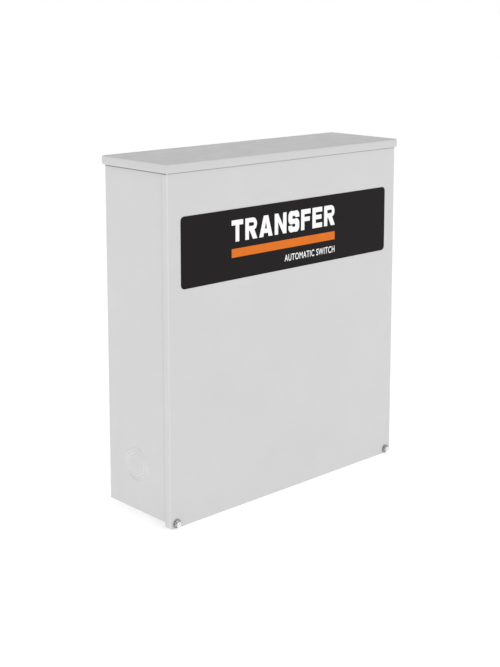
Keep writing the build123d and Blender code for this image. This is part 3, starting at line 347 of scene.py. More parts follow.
def struck_pads(shade):
    """1 on the straps' pads, where the moving contacts strike."""
    near = shade.maths("LESS_THAN", shade.maths("ABSOLUTE", shade.axis("Z")), 25 * MM)
    in_front = shade.maths("LESS_THAN", shade.axis("Y"), SHAFT_AXIS.y - 30 * MM)
    return shade.maths("MULTIPLY", near, in_front)


def arm_tips(shade):
    """1 on the moving arms' tips."""
    return shade.maths("LESS_THAN", shade.axis("Y"), on_arm(37 * MM)[0])


def copper(name, silvered=None):
    """Copper bar: rolled lines, brown tarnish in clouds, and slightly burnt silver where it is silvered."""
    shade = Shade(name, 0.3, metallic=1.0)
    cloud = shade.noise(16 * MM, detail=5.0, rough=0.68)
    lines = shade.noise(0.4 * MM, detail=2.0, stretch=(1.0, 1.0, 0.04))
    colour = shade.mix(shade.remap(cloud, 0.42, 0.78), (0.83, 0.43, 0.28), (0.42, 0.19, 0.11))
    if silvered:
        burn = shade.remap(shade.noise(1.6 * MM, detail=5.0, rough=0.65), 0.5, 0.85)
        silver = shade.mix(burn, (0.78, 0.77, 0.74), (0.45, 0.42, 0.39))
        colour = shade.mix(silvered(shade), colour, silver)
    shade.colour(colour)
    shade.roughness(shade.remap(cloud, 0.35, 0.75, 0.24, 0.46))
    shade.relief(lines, 0.014 * MM, 0.6)
    return shade.material


def extruded_aluminium(name, along):
    """Tin-plated aluminium with die lines, frosted by the plating."""
    shade = Shade(name, 0.36, metallic=1.0)
    lines = shade.noise(0.6 * MM, detail=3.0, stretch=along)
    frost = shade.noise(1.3 * MM, detail=4.0)
    stain = shade.noise(14 * MM, detail=3.0)
    tin = shade.mix(shade.remap(frost, 0.35, 0.7), (0.75, 0.76, 0.77), (0.68, 0.69, 0.7))
    shade.colour(shade.mix(shade.remap(stain, 0.5, 0.8, 0.0, 0.35), tin, (0.52, 0.52, 0.53)))
    shade.roughness(shade.remap(frost, 0.3, 0.7, 0.32, 0.46))
    shade.relief(lines, 0.02 * MM, 0.6)
    return shade.material


def moulding(name, colour, roughness=0.5, speck=0.1, peel=0.02):
    """Moulded plastic: a fine spark-eroded grain, flow clouds, a speckle of filler."""
    shade = Shade(name, roughness)
    grain = shade.noise(0.5 * MM, detail=2.0)
    flow = shade.noise(24 * MM, detail=3.0, rough=0.6)
    filler = shade.cells(0.9 * MM)
    base = shade.mix(shade.remap(flow, 0.35, 0.7), colour, [c * 0.86 for c in colour])
    lighter = [min(1.0, c * 1.35 + 0.012) for c in colour]
    shade.colour(shade.mix(shade.remap(filler, 0.0, 0.22, speck, 0.0), base, lighter))
    shade.roughness(shade.remap(flow, 0.35, 0.7, roughness - 0.06, roughness + 0.08))
    shade.relief(grain, peel * MM, 0.6)
    return shade.material


def fibre(name):
    """Vulcanised fibre: red-brown sheet with a paper-like drift of strands."""
    shade = Shade(name, 0.62)
    strands = shade.noise(1.1 * MM, detail=4.0, rough=0.7, stretch=(1.0, 0.4, 0.15))
    shade.colour(shade.mix(shade.remap(strands, 0.35, 0.7), (0.33, 0.075, 0.035), (0.2, 0.04, 0.02)))
    shade.relief(strands, 0.03 * MM, 0.6)
    return shade.material


def enamelled_wire(name):
    """Magnet wire: copper seen through amber enamel."""
    shade = Shade(name, 0.28, metallic=0.85, Coat_Weight=0.6, Coat_Roughness=0.12)
    drift = shade.noise(6 * MM, detail=3.0)
    shade.colour(shade.mix(shade.remap(drift, 0.35, 0.7), (0.62, 0.2, 0.07), (0.4, 0.1, 0.03)))
    shade.relief(shade.noise(0.7 * MM), 0.01 * MM, 0.5)
    return shade.material


def insulation(name, colour):
    """PVC wire insulation: a soft sheen and slight draw marks."""
    shade = Shade(name, 0.38, Coat_Weight=0.2, Coat_Roughness=0.3)
    drift = shade.noise(9 * MM, detail=3.0)
    shade.colour(shade.mix(shade.remap(drift, 0.35, 0.7), colour, [c * 0.8 for c in colour]))
    shade.relief(shade.noise(0.8 * MM, detail=2.0), 0.01 * MM, 0.5)
    return shade.material


def clear_cover(name):
    """Clear polycarbonate, faintly smoky, with a few moulding streaks."""
    shade = Shade(name, 0.06, IOR=1.58, Transmission_Weight=1.0)
    streak = shade.noise(12 * MM, detail=3.0, stretch=(1.0, 0.3, 1.0))
    shade.colour(shade.mix(shade.remap(streak, 0.4, 0.8), (0.93, 0.95, 0.96), (0.84, 0.88, 0.9)))
    shade.relief(streak, 0.02 * MM, 0.3)
    return shade.material


def fuse_body(name):
    """Ceramic barrel between plated end caps."""
    low, high = extent("cartridge_fuse_1")
    shade = Shade(name, 0.25)
    cap = 8.0 * MM
    barrel = shade.between(shade.axis("Z"), low.z + cap, high.z - cap)
    glaze = shade.noise(3 * MM, detail=3.0)
    white = shade.mix(glaze, (0.85, 0.83, 0.78), (0.76, 0.74, 0.7))
    plate = shade.mix(glaze, (0.62, 0.62, 0.6), (0.74, 0.73, 0.7))
    shade.colour(shade.mix(barrel, plate, white))
    shade.metallic(shade.maths("SUBTRACT", 1.0, barrel))
    shade.roughness(shade.remap(glaze, 0.3, 0.7, 0.2, 0.38))
    shade.relief(glaze, 0.01 * MM, 0.5)
    return shade.material


def relay_parts(name):
    """Relay inside its cover: pale bobbin base, copper coil, bright blades."""
    high = extent("relay_core")[1]
    shade = Shade(name, 0.35)
    wire_pitch = 0.5 * MM
    y = shade.axis("Y")
    base = shade.maths("GREATER_THAN", y, high.y - 5.2 * MM)
    upper = shade.maths("GREATER_THAN", shade.axis("Z"), high.z - 6 * MM)
    blades = shade.maths("MULTIPLY", upper, shade.maths("SUBTRACT", 1.0, base))
    turns = shade.maths("SINE", shade.maths("MULTIPLY", y, 2 * math.pi / wire_pitch))
    coil = shade.mix(shade.remap(turns, -1, 1), (0.5, 0.15, 0.05), (0.75, 0.3, 0.12))
    body = shade.mix(shade.noise(8 * MM), (0.75, 0.73, 0.66), (0.64, 0.62, 0.56))
    shade.colour(shade.mix(base, shade.mix(blades, coil, (0.72, 0.7, 0.62)), body))
    shade.metallic(shade.maths("SUBTRACT", 1.0, base))
    shade.relief(turns, 0.05 * MM, 0.4)
    return shade.material


def paper(name):
    """Label paper with a soft tooth and a yellowed drift."""
    shade = Shade(name, 0.75)
    tooth = shade.noise(0.35 * MM, detail=3.0)
    age = shade.noise(60 * MM, detail=3.0)
    shade.colour(shade.mix(shade.remap(age, 0.35, 0.7), (0.86, 0.86, 0.83), (0.8, 0.79, 0.73)))
    shade.relief(tooth, 0.01 * MM, 0.6)
    return shade.material


def floor_paper(name):
    """Pale studio floor, lit from below like a light table."""
    shade = Shade(name, 0.9, Emission_Color=(1, 1, 1, 1), Emission_Strength=0.42)
    drift = shade.noise(0.6, detail=2.0)
    shade.colour(shade.mix(drift, (0.9, 0.9, 0.9), (0.92, 0.92, 0.92)))
    return shade.material


PAINT = (0.636, 0.638, 0.635)
# Painted light on the coat: painted shadows under the hood's lip and behind the cover's flanges, and painted
# highlights in the knockout grooves and on the cover's bends.
BODY_PAINTED_LIGHT = [
    (lip_painted_shadow, "enclosure_body", 0.3),
    (flange_painted_shadow, "enclosure_body", 0.5),
    (knockout_painted_highlight, "enclosure_body", 1.57),
]
COVER_PAINTED_LIGHT = [(lip_painted_shadow, "front_cover", 0.3), (bend_painted_highlight, "front_cover", 1.1)]
MATERIALS = {
    "paint": powder_coat("paint", PAINT),
    "hood_paint": powder_coat("hood_paint", [c * 0.965 for c in PAINT]),
    "body_paint": powder_coat("body_paint", PAINT, marks=BODY_PAINTED_LIGHT),
    "cover_paint": powder_coat("cover_paint", PAINT, marks=COVER_PAINTED_LIGHT),
    "panel_paint": powder_coat("panel_paint", (0.78, 0.78, 0.76), roughness=0.5),
    "label_black": film("label_black", (0.0125, 0.0105, 0.011), 0.4),
    "white_ink": ink("white_ink", (0.98, 0.98, 0.98)),
    "orange_ink": ink("orange_ink", (0.76, 0.18, 0.019)),
    "black_ink": ink("black_ink", (0.02, 0.02, 0.02)),
    "paper": paper("paper"),
    "zinc": plated_steel("zinc"),
    "screw_zinc": screw_plating_with_painted_shade("screw_zinc"),
    "steel": machined_steel("steel"),
    "dark_steel": machined_steel("dark_steel", tint=(0.3, 0.3, 0.31), roughness=0.42, along=(1, 1, 0.05)),
    "galvanised": galvanised("galvanised"),
    "copper": copper("copper"),
    "strap_copper": copper("strap_copper", silvered=struck_pads),
    "arm_copper": copper("arm_copper", silvered=arm_tips),
    "lug": extruded_aluminium("lug", along=(1.0, 1.0, 0.04)),
    "bar_aluminium": extruded_aluminium("bar_aluminium", along=(0.04, 1.0, 1.0)),
    "thermoset": moulding("thermoset", (0.028, 0.028, 0.031), roughness=0.46, speck=0.35),
    "black_plastic": moulding("black_plastic", (0.02, 0.02, 0.021), roughness=0.4),
    "grey_plastic": moulding("grey_plastic", (0.24, 0.25, 0.265), roughness=0.45),
    "nylon": moulding("nylon", (0.74, 0.72, 0.66), roughness=0.42, speck=0.04),
    "red_grip": moulding("red_grip", (0.42, 0.018, 0.014), roughness=0.36, speck=0.03, peel=0.04),
    "fibre": fibre("fibre"),
    "winding": enamelled_wire("winding"),
    "clear": clear_cover("clear"),
    "fuse": fuse_body("fuse"),
    "relay": relay_parts("relay"),
    "yellow_pvc": insulation("yellow_pvc", (0.72, 0.46, 0.03)),
    "red_pvc": insulation("red_pvc", (0.5, 0.02, 0.015)),
    "blue_pvc": insulation("blue_pvc", (0.03, 0.09, 0.4)),
    "black_pvc": insulation("black_pvc", (0.022, 0.022, 0.024)),
}

FINISHES = {
    "paint": ["bottom_panel", "header_rail"],
    "hood_paint": ["rain_hood"],
    "body_paint": ["enclosure_body"],
    "cover_paint": ["front_cover"],
    "panel_paint": ["sub_panel"],
    "label_black": ["cover_label"],
    "paper": ["wiring_diagram"],
    "screw_zinc": ["cover_screw_left", "cover_screw_right"],
    "zinc": [
        "cover_nuts", "panel_studs", "panel_nuts", "drive_plates", "toggle_arm", "manual_handle",
        "spring_post", "terminal_screws", "ground_screws",
    ],
    "steel": [
        "transfer_shaft", "crank", "armature", "lug_screws", "neutral_screws",
        "utility_switch_lever", "generator_switch_lever",
    ],
    "dark_steel": ["arc_plates", "coil_frames"],
    "galvanised": ["din_rail"],
    "copper": ["load_bars"],
    "strap_copper": ["fixed_contacts"],
    "arm_copper": ["moving_contacts"],
    "lug": ["terminal_lugs", "neutral_bar"],
    "bar_aluminium": ["ground_bar"],
    "thermoset": ["mechanism_base", "crossbar"],
    "black_plastic": ["limit_switches", "control_terminals"],
    "grey_plastic": ["fuse_bases", "relay_socket", "fuse_carrier_1", "fuse_carrier_2", "fuse_carrier_3"],
    "nylon": ["coil_bobbins"],
    "red_grip": ["handle_grip"],
    "fibre": ["arc_cheeks", "neutral_insulators"],
    "clear": ["relay_case"],
    "fuse": ["cartridge_fuse_1", "cartridge_fuse_2", "cartridge_fuse_3"],
    "relay": ["relay_core"],
    "yellow_pvc": ["sense_wires"],
    "red_pvc": ["load_wire"],
    "blue_pvc": ["control_wires"],
    "black_pvc": ["coil_leads"],
}


def finish_nodes():
    """Puts each CAD node's material on it."""
    for finish, names in FINISHES.items():
        for name in names:
            mesh = nodes[name].data
            mesh.materials.clear()
            mesh.materials.append(MATERIALS[finish])


# ---- mesh helpers -------------------------------------------------------------------
def piece(name, mesh, finish, body):
    """Links a mesh as a piece that rides on a body, or on none."""
    obj = bpy.data.objects.new(name, mesh)
    bpy.context.scene.collection.objects.link(obj)
    mesh.materials.clear()
    mesh.materials.append(MATERIALS[finish])
    if body:
        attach(obj, body)
    return obj


def from_bmesh(name, bm, smooth=True):
    mesh = bpy.data.meshes.new(name)
    bmesh.ops.recalc_face_normals(bm, faces=bm.faces)
    bm.to_mesh(mesh)
    bm.free()
    for polygon in mesh.polygons:
        polygon.use_smooth = smooth
    return mesh


def mesh_of(curve):
    """The curve's mesh. The curve itself is deleted."""
    holder = bpy.data.objects.new(curve.name, curve)
    bpy.context.scene.collection.objects.link(holder)
    depsgraph = bpy.context.evaluated_depsgraph_get()
    mesh = bpy.data.meshes.new_from_object(holder.evaluated_get(depsgraph))
    mesh.name = curve.name
    bpy.data.objects.remove(holder)
    bpy.data.curves.remove(curve)
    return mesh


def tube_mesh(name, paths, radius, sides):
    """Round tubes along lists of points, as one mesh with capped ends."""
    curve = bpy.data.curves.new(name, "CURVE")
    curve.dimensions = "3D"
    curve.bevel_depth = radius
    curve.bevel_resolution = max(0, sides // 2 - 2)
    curve.use_fill_caps = True
    for path in paths:
        spline = curve.splines.new("POLY")
        spline.points.add(len(path) - 1)
        for point, place in zip(spline.points, path):
            point.co = (*place, 1.0)
        spline.use_smooth = True
    return mesh_of(curve)


def rounded_plate(bm, size, centre, radius, turn=None):
    """A box with bevelled edges, added to bm."""
    verts = bmesh.ops.create_cube(bm, size=1.0)["verts"]
    bmesh.ops.scale(bm, vec=size, verts=verts)
    edges = list({edge for vert in verts for edge in vert.link_edges})
    result = bmesh.ops.bevel(bm, geom=edges, offset=radius, segments=3, affect="EDGES", profile=0.5)
    bevelled = {vert for face in result["faces"] for vert in face.verts}
    verts = list(bevelled | {vert for vert in verts if vert.is_valid})
    if turn is not None:
        bmesh.ops.rotate(bm, cent=(0, 0, 0), matrix=turn, verts=verts)
    bmesh.ops.translate(bm, vec=centre, verts=verts)


# ---- label --------------------------------------------------------------------------
INK = 0.06 * MM             # thickness of the printed ink
WORD_LEFT = -120 * MM
WORD_RIGHT = 98 * MM
LARGE_CAP = 33 * MM         # height of the large word's letters
SMALL_CAP = 10.5 * MM       # height of the small words' letters
SMALL_WIDTH = 110 * MM
STRIPE = 13 * MM            # height of the orange stripe
BAR = 0.235                 # thickness of a letter's bars, for a letter 1 high
STEM = 0.27                 # thickness of its stems
LETTER_GAP = 0.16           # between two letters, for letters 1 high
ARC_STEPS = 8


def arc(x, y, radius, start, end):
    """Points along an arc, its angles in degrees."""
    turns = [math.radians(start + (end - start) * index / ARC_STEPS) for index in range(ARC_STEPS + 1)]
    return [(x + radius * math.cos(turn), y + radius * math.sin(turn)) for turn in turns]


def letter_t(w):
    mid = w / 2
    top = 1 - BAR
    outline = [(mid - STEM / 2, 0), (mid + STEM / 2, 0), (mid + STEM / 2, top), (w, top)]
    return [outline + [(w, 1), (0, 1), (0, top), (mid - STEM / 2, top)]]


def letter_e(w, foot=True):
    mid = 0.52
    half = BAR / 2 - 0.01
    start = [(0, 0), (w, 0), (w, BAR), (STEM, BAR)] if foot else [(0, 0), (STEM, 0)]
    middle = [(STEM, mid - half), (w * 0.93, mid - half), (w * 0.93, mid + half), (STEM, mid + half)]
    return [start + middle + [(STEM, 1 - BAR), (w, 1 - BAR), (w, 1), (0, 1)]]


def letter_f(w):
    return letter_e(w, foot=False)


def letter_n(w):
    reach = 0.6
    left = [(0, 0), (STEM, 0), (STEM, reach), (w - STEM, 0)]
    return [left + [(w, 0), (w, 1), (w - STEM, 1), (w - STEM, 1 - reach), (STEM, 1), (0, 1)]]


def letter_a(w):
    mid = w / 2
    peak = STEM * 0.62
    foot = STEM * 1.12
    lean = mid - peak
    low, high = 0.17, 0.38
    inner = [(foot, 0), (foot + lean * low, low), (w - foot - lean * low, low), (w - foot, 0)]
    hole = [(foot + lean * high, high), (mid, 0.72), (w - foot - lean * high, high)]
    return [[(0, 0)] + inner + [(w, 0), (mid + peak, 1), (mid - peak, 1)], hole]


def letter_r(w):
    waist = 0.4
    bowl = (1 - waist) / 2
    round_x = w - bowl - 0.01
    leg = STEM * 1.15
    outer = [(0, 0), (STEM, 0), (STEM, waist), (w - leg - 0.23, waist), (w - leg, 0), (w + 0.02, 0)]
    outer += [(w - 0.21, waist + 0.035)] + arc(round_x, 1 - bowl, bowl, -50, 90) + [(0, 1)]
    inside = bowl - BAR * 0.92
    hole = [(STEM, waist + BAR * 0.92)] + arc(round_x, 1 - bowl, inside, -90, 90) + [(STEM, 1 - BAR * 0.92)]
    return [outer, hole]


def letter_s(w):
    side = STEM / 2
    r = (1 - BAR) / 4
    end = 0.31
    left_x, right_x = side + r, w - side - r
    top_y, foot_y = 1 - BAR / 2 - r, BAR / 2 + r
    line = [(w - side, 1 - end)] + arc(right_x, top_y, r, 0, 90) + arc(left_x, top_y, r, 90, 180)
    line += arc(left_x, 0.5 + r, r, 180, 270) + arc(right_x, 0.5 - r, r, 90, 0)
    line += arc(right_x, foot_y, r, 0, -90) + arc(left_x, foot_y, r, 270, 180) + [(side, end)]
    left, right = [], []
    for index, (x, y) in enumerate(line):
        ahead = line[min(index + 1, len(line) - 1)]
        behind = line[max(index - 1, 0)]
        way = Vector((ahead[0] - behind[0], ahead[1] - behind[1])).normalized()
        half = (BAR / 2) * abs(way.x) + (STEM / 2) * abs(way.y)
        left.append((x - way.y * half, y + way.x * half))
        right.append((x + way.y * half, y - way.x * half))
    return [left + right[::-1]]


LETTERS = {
    "T": (letter_t, 0.84),
    "R": (letter_r, 0.88),
    "A": (letter_a, 1.02),
    "N": (letter_n, 0.92),
    "S": (letter_s, 0.84),
    "F": (letter_f, 0.76),
    "E": (letter_e, 0.8),
}


def heavy_word(name, word):
    """A 2D curve of the word in plain block capitals 1 high."""
    curve = bpy.data.curves.new(name, "CURVE")
    curve.dimensions = "2D"
    curve.fill_mode = "BOTH"
    curve.extrude = 0.01
    start = 0.0
    for letter in word:
        draw, width = LETTERS[letter]
        for outline in draw(width):
            spline = curve.splines.new("POLY")
            spline.points.add(len(outline) - 1)
            for point, (x, y) in zip(spline.points, outline):
                point.co = (start + x, y, 0, 1)
            spline.use_cyclic_u = True
        start += width + LETTER_GAP
    return curve


def small_words(name, words):
    text = bpy.data.curves.new(name, "FONT")
    text.body = words
    text.offset = 0.012
    text.extrude = 0.01
    text.resolution_u = 6
    text.space_character = 1.1
    return text


def printed(curve, cap_height, width, right, base):
    """Fits a flat curve's mesh to this height and width on the label, as a thin layer of ink."""
    name = curve.name
    mesh = mesh_of(curve)
    low = Vector([min(v.co[axis] for v in mesh.vertices) for axis in range(3)])
    high = Vector([max(v.co[axis] for v in mesh.vertices) for axis in range(3)])
    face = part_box("cover_label")[0].y
    for vert in mesh.vertices:
        along = (vert.co.x - high.x) / (high.x - low.x) * width
        up = (vert.co.y - low.y) / (high.y - low.y) * cap_height
        out = (vert.co.z - low.z) / (high.z - low.z) * INK
        vert.co = (right + along, face - out, base + up)
    mesh.update()
    piece(name, mesh, "white_ink", "cover")


def label_print():
    """Generic words and a plain stripe on the black label."""
    low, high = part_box("cover_label")
    height = high.z - low.z
    width = WORD_RIGHT - WORD_LEFT
    word = heavy_word("label_word_large", "TRANSFER")
    printed(word, LARGE_CAP, width, WORD_RIGHT, low.z + 0.53 * height)
    words = small_words("label_word_small", "AUTOMATIC SWITCH")
    printed(words, SMALL_CAP, SMALL_WIDTH, WORD_RIGHT, low.z + 0.115 * height)
    bm = bmesh.new()
    size = (width, 2 * INK, STRIPE)
    rounded_plate(bm, size, ((WORD_LEFT + WORD_RIGHT) / 2, low.y, low.z + 0.375 * height), 0.02 * MM)
    stripe = from_bmesh("label_stripe", bm, smooth=False)
    piece("label_stripe", stripe, "orange_ink", "cover")


def diagram_print():
    """A simple wiring diagram on the inside label: boxes and lines, with no words."""
    low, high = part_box("wiring_diagram")
    face = high.y
    width = high.x - low.x
    height = high.z - low.z
    line = 0.7 * MM
    bm = bmesh.new()

    def stroke(u0, v0, u1, v1):
        """A line between two places given as shares of the label's width and height."""
        x0, x1 = sorted((low.x + u0 * width, low.x + u1 * width))
        z0, z1 = sorted((low.z + v0 * height, low.z + v1 * height))
        size = (x1 - x0 + line, 2 * INK, z1 - z0 + line)
        rounded_plate(bm, size, ((x0 + x1) / 2, face, (z0 + z1) / 2), 0.01 * MM)

    def frame_box(u0, v0, u1, v1):
        stroke(u0, v0, u1, v0)
        stroke(u0, v1, u1, v1)
        stroke(u0, v0, u0, v1)
        stroke(u1, v0, u1, v1)

    frame_box(0.04, 0.05, 0.96, 0.95)
    frame_box(0.36, 0.14, 0.64, 0.34)
    for left, first, way in ((0.14, 0, 1), (0.62, 5, -1)):
        frame_box(left, 0.68, left + 0.24, 0.86)
        for count in range(3):    # three lines from each upper box, stepped so that none cross
            source = left + 0.12 + way * (0.06 * count - 0.06)
            target = 0.39 + 0.044 * (first + way * count)
            level = 0.42 + 0.04 * count
            stroke(source, level, source, 0.68)
            stroke(source, level, target, level)
            stroke(target, 0.34, target, level)
    mesh = from_bmesh("wiring_diagram_lines", bm, smooth=False)
    piece("wiring_diagram_lines", mesh, "black_ink", "cover")


# ---- windings and springs -----------------------------------------------------------
def helix(centre, radius, pitch, turns, along, steps):
    """Points of a helix from centre along an axis, a unit vector, with this many steps a turn."""
    side = along.orthogonal().normalized()
    up = along.cross(side)
    points = []
    for index in range(int(turns * steps) + 1):
        angle = 2 * math.pi * index / steps
        middle = centre + along * (pitch * index / steps)
        points.append(middle + side * (radius * math.cos(angle)) + up * (radius * math.sin(angle)))
    return points


def coil_windings():
    """Magnet wire wound on both bobbins, over a smooth inner layer."""
    wire = 0.42 * MM
    for name, side in (("utility_winding", 1), ("generator_winding", -1)):
        low, high = extent("coil_windings", lambda p, side=side: p.z * side > 0)
        centre = (low + high) / 2
        radius = (high.x - low.x) / 2
        length = high.z - low.z
        turns = int(length / (2 * wire)) - 1
        start = Vector((centre.x, centre.y, low.z + wire))
        path = helix(start, radius - wire, 2 * wire, turns, Vector((0, 0, 1)), steps=36)
        mesh = tube_mesh(name, [path], wire, sides=8)
        bm = bmesh.new()
        bm.from_mesh(mesh)
        core = radius - 1.1 * wire
        drum = bmesh.ops.create_cone(bm, cap_ends=True, segments=72, radius1=core, radius2=core, depth=length)
        bmesh.ops.translate(bm, vec=centre, verts=drum["verts"])
        obj = piece(name, from_bmesh(name, bm), "winding", ROOT)
        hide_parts("coil_windings")


def coil_tape():
    """A turn and a bit of white tape round the middle of each coil."""
    steps = 96
    for name, side in (("utility_coil_tape", 1), ("generator_coil_tape", -1)):
        low, high = extent("coil_windings", lambda p, side=side: p.z * side > 0)
        centre = (low + high) / 2
        radius = (high.x - low.x) / 2 + 0.15 * MM
        half = 8 * MM
        bm = bmesh.new()
        rows = []
        for index in range(steps + 1):
            angle = math.radians(-105 + 390 * index / steps)
            r = radius + 0.25 * MM * index / steps
            rim = Vector((math.cos(angle) * r, math.sin(angle) * r, 0))
            rows.append([bm.verts.new(centre + rim + Vector((0, 0, h))) for h in (-half, half)])
        for left, right in zip(rows, rows[1:]):
            bm.faces.new((left[0], right[0], right[1], left[1]))
        obj = piece(name, from_bmesh(name, bm), "nylon", ROOT)
        solid = obj.modifiers.new("thickness", "SOLIDIFY")
        solid.thickness = 0.12 * MM


def spring_wire():
    """The toggle spring: close coils between two hooked loops, in the spring's own line at rest."""
    anchor = Vector(joints["spring_swing"]["pos_m"])
    pin_y, pin_z = on_arm(24 * MM)
    pin = Vector((anchor.x, pin_y, pin_z))
    along = (pin - anchor).normalized()
    up = Vector((1, 0, 0)).cross(along).normalized()
    length = (pin - anchor).length
    wire = 0.75 * MM
    body_radius = 3.6 * MM
    loop = 3.6 * MM
    clear = loop + 3.4 * MM
    turns = int((length - 2 * clear) / (2.15 * wire))
    pitch = (length - 2 * clear) / turns
    side = along.orthogonal().normalized()
    hook_points = 22

    def hook(centre, way):
        """A loop round a post, that opens towards the coils."""
        points = []
        for index in range(hook_points + 1):
            angle = math.radians(-150 + 300 * index / hook_points)
            points.append(centre - along * (way * loop * math.cos(angle)) + up * (loop * math.sin(angle)))
        return points

    coils = helix(anchor + along * clear, body_radius, pitch, turns, along, steps=24)
    first = hook(anchor, 1)
    last = hook(pin, -1)
    path = first + [anchor + along * (clear - 0.8 * MM) + side * body_radius * 0.5] + coils
    path += [pin - along * (clear - 0.8 * MM) + side * body_radius * 0.5] + last[::-1]
    mesh = tube_mesh("toggle_spring_wire", [path], wire, sides=10)
    obj = piece("toggle_spring_wire", mesh, "steel", "toggle_spring")
    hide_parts("toggle_spring")


# ---- braids -------------------------------------------------------------------------
BRAID_REACH = 20 * MM       # from the shaft, along the arm
BRAID_HALF = (5.6 * MM, 1.55 * MM)    # half its width and half its thickness
BRAID_STRANDS = 12          # each way
STRAND_RADIUS = 0.52 * MM
STRAND_PITCH = 16 * MM      # length of braid in which a strand goes once round


def braid_route(x):
    """The braid's middle line: out from the load bar, along under the shaft, up to the arm."""
    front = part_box("load_bars")[0].y
    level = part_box("load_braids")[0].z + 2 * MM
    end_y, end_z = on_arm(BRAID_REACH, -4 * MM)
    below = on_arm(BRAID_REACH, -18 * MM)
    corner = SHAFT_AXIS.y - BRAID_REACH - 2 * MM
    points = [(front, level), (front - 18 * MM, level), (corner + 12 * MM, level - 0.5 * MM)]
    points += [(corner - 1 * MM, level + 2 * MM), (below[0] - 0.5 * MM, below[1] - 4 * MM)]
    points += [below, (end_y, end_z)]
    curve = bpy.data.curves.new("braid_route", "CURVE")
    curve.dimensions = "3D"
    spline = curve.splines.new("NURBS")
    spline.points.add(len(points) - 1)
    for point, (y, z) in zip(spline.points, points):
        point.co = (x, y, z, 1.0)
    spline.order_u = 3
    spline.use_endpoint_u = True
    spline.resolution_u = 14
    mesh = mesh_of(curve)
    line = [v.co.copy() for v in mesh.vertices]
    bpy.data.meshes.remove(mesh)
    return line


def load_braids():
    """Two flat copper braids, woven from strands that cross over and under, each running up to its arm."""
    low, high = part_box("load_braids")
    centres = [low.x + 6 * MM, high.x - 6 * MM]
    for number, x in enumerate(centres):
        line = braid_route(x)
        count = len(line)
        length = sum((b - a).length for a, b in zip(line, line[1:]))
        turns = length / STRAND_PITCH
        paths = []
        for way in (-1, 1):
            for strand in range(BRAID_STRANDS):
                path = []
                for index, place in enumerate(line):
                    ahead = line[min(index + 1, count - 1)] - line[max(index - 1, 0)]
                    normal = Vector((1, 0, 0)).cross(ahead).normalized()
                    share = index / (count - 1)
                    angle = 2 * math.pi * (strand / BRAID_STRANDS + way * turns * share)
                    lift = 1 + 0.12 * way * math.cos(angle * BRAID_STRANDS / 2)
                    wide = BRAID_HALF[0] * math.cos(angle)
                    thick = BRAID_HALF[1] * lift * math.sin(angle)
                    path.append(place + Vector((wide, 0, 0)) + normal * thick)
                paths.append(path)
        name = f"load_braid_{number + 1}"
        mesh = tube_mesh(name, paths, STRAND_RADIUS, sides=6)
        obj = piece(name, mesh, "copper", None)
        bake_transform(obj)
        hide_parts("load_braids")
        braid_ends(number, x, line)


def braid_ends(number, x, line):
    """Pressed ferrules: one on the load bar, one under the moving arm."""
    wide, deep, edge = 13.5 * MM, 5 * MM, 0.8 * MM
    bm = bmesh.new()
    rounded_plate(bm, (wide, deep, 5 * MM), line[0] + Vector((0, -deep / 2, 0)), edge)
    mesh = from_bmesh("ferrule_bar", bm)
    piece(f"braid_ferrule_bar_{number + 1}", mesh, "copper", ROOT)
    bm = bmesh.new()
    turn = Matrix.Rotation(-HALF_THROW, 3, "X")
    y, z = on_arm(BRAID_REACH, -6.2 * MM)
    rounded_plate(bm, (wide, deep, 4.2 * MM), Vector((x, y, z)), edge, turn=turn)
    mesh = from_bmesh("ferrule_arm", bm)
    piece(f"braid_ferrule_arm_{number + 1}", mesh, "copper", "shaft")


# ---- small fittings -----------------------------------------------------------------
def fuse_springs():
    """Bowed contact strips at the back of each fuse bay, behind the fuse's two caps."""
    steps = 12
    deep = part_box("fuse_bases")[1].y - 12.2 * MM
    for number in (1, 2, 3):
        low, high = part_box(f"cartridge_fuse_{number}")
        middle = (low.x + high.x) / 2
        for end, z in (("low", low.z + 4 * MM), ("high", high.z - 4 * MM)):
            bm = bmesh.new()
            rows = []
            for index in range(steps + 1):
                share = index / steps
                bow = math.sin(math.pi * share)
                y = deep - (deep - high.y - 0.3 * MM) * bow
                rise = z + (share - 0.5) * 9 * MM
                rows.append([bm.verts.new((middle + dx, y, rise)) for dx in (-2.6 * MM, 2.6 * MM)])
            for first, second in zip(rows, rows[1:]):
                bm.faces.new((first[0], second[0], second[1], first[1]))
            name = f"fuse_contact_{number}_{end}"
            obj = piece(name, from_bmesh(name, bm), "copper", ROOT)
            solid = obj.modifiers.new("thickness", "SOLIDIFY")
            solid.thickness = 0.5 * MM
            solid.offset = 0.0


def cable_tie():
    """A nylon tie round the bundle of coil leads."""
    low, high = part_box("coil_leads")
    centre = Vector((high.x - 45 * MM, -22 * MM, low.z + 9 * MM))
    deep, tall, half_width = 20 * MM, 17 * MM, 1.6 * MM
    squareness = 0.6            # 1 would be an ellipse, 0 a rectangle
    steps = 48
    bm = bmesh.new()
    ring = []
    for index in range(steps):
        angle = 2 * math.pi * index / steps
        c, s = math.cos(angle), math.sin(angle)
        y = math.copysign(abs(c) ** squareness, c) * deep / 2
        z = math.copysign(abs(s) ** squareness, s) * tall / 2
        ring.append([bm.verts.new(centre + Vector((dx, y, z))) for dx in (-half_width, half_width)])
    for index in range(steps):
        first, second = ring[index], ring[(index + 1) % steps]
        bm.faces.new((first[0], second[0], second[1], first[1]))
    obj = piece("tie_coil_leads", from_bmesh("tie_coil_leads", bm), "nylon", ROOT)
    solid = obj.modifiers.new("thickness", "SOLIDIFY")
    solid.thickness = 0.9 * MM


# ---- stage, lights, camera ----------------------------------------------------------
CAMERA_PLACE = (-1.3322, -1.4795, 0.4847)
CAMERA_YAW = 0.7523         # in radians, from looking along +Y towards +X
CAMERA_PITCH = 0.1549       # in radians, downwards
CAMERA_LENS = 68.3
CAMERA_SHIFT = -0.2
FLOOR_SIZE = 60.0


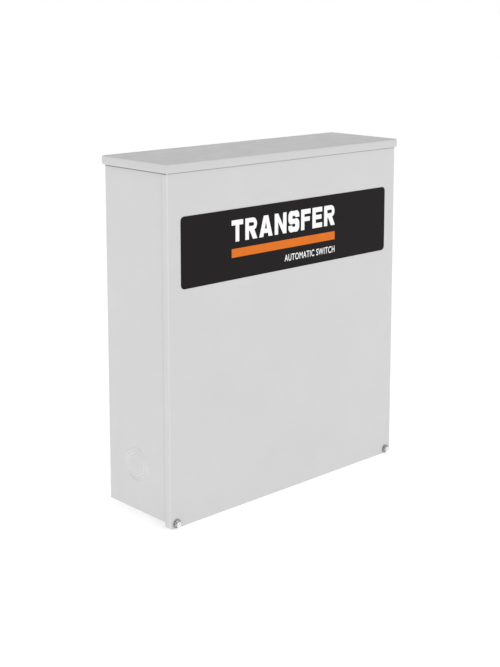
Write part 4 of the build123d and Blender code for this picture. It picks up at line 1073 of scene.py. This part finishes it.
def soft_light(name, place, target, size, power):
    """An area light of this size and power, aimed at the target."""
    data = bpy.data.lights.new(name, "AREA")
    data.shape = "RECTANGLE"
    data.size, data.size_y = size
    data.energy = power
    light = bpy.data.objects.new(name, data)
    light.location = place
    light.rotation_euler = (Vector(target) - Vector(place)).to_track_quat("-Z", "Y").to_euler()
    bpy.context.scene.collection.objects.link(light)


def sky():
    """White at the horizon, dimmer overhead."""
    world = bpy.data.worlds.new("studio")
    world.use_nodes = True
    tree = world.node_tree
    background = tree.nodes["Background"]
    coords = tree.nodes.new("ShaderNodeTexCoord")
    split = tree.nodes.new("ShaderNodeSeparateXYZ")
    ramp = tree.nodes.new("ShaderNodeMapRange")
    ramp.interpolation_type = "SMOOTHSTEP"
    limits = {"From Min": 0.15, "From Max": 0.9, "To Min": 1.0, "To Max": 0.51}
    for name, number in limits.items():
        ramp.inputs[name].default_value = number
    tree.links.new(coords.outputs["Generated"], split.inputs["Vector"])
    tree.links.new(split.outputs["Z"], ramp.inputs["Value"])
    tree.links.new(ramp.outputs["Result"], background.inputs["Strength"])
    background.inputs["Color"].default_value = (1, 1, 1, 1)
    bpy.context.scene.world = world


def studio():
    """Light-table floor, pale surroundings, and a broad soft light each side of the camera."""
    low, high = cad_box
    bm = bmesh.new()
    bmesh.ops.create_grid(bm, x_segments=1, y_segments=1, size=FLOOR_SIZE)
    bmesh.ops.translate(bm, vec=(0, 0, low.z - 0.5 * MM), verts=bm.verts)
    mesh = from_bmesh("floor", bm, smooth=False)
    floor = bpy.data.objects.new("floor", mesh)
    bpy.context.scene.collection.objects.link(floor)
    mesh.materials.append(floor_paper("floor_paper"))
    sky()
    middle = (low + high) / 2
    soft_light("key", (0.9, -2.4, 0.9), middle, (1.6, 1.6), 7)
    soft_light("fill", (-2.6, -0.3, 0.6), middle, (1.6, 1.6), 6)
    bpy.context.scene.view_settings.view_transform = "Standard"


def camera():
    data = bpy.data.cameras.new("camera")
    data.sensor_width = 36.0
    data.lens = CAMERA_LENS
    data.shift_y = CAMERA_SHIFT
    data.clip_start = 0.01
    data.clip_end = 100.0
    cam = bpy.data.objects.new("camera", data)
    cam.location = CAMERA_PLACE
    cam.rotation_euler = (math.pi / 2 - CAMERA_PITCH, 0.0, -CAMERA_YAW)
    bpy.context.scene.collection.objects.link(cam)
    bpy.context.scene.camera = cam


finish_nodes()
label_print()
diagram_print()
coil_windings()
coil_tape()
spring_wire()
load_braids()
fuse_springs()
cable_tie()
studio()
camera()
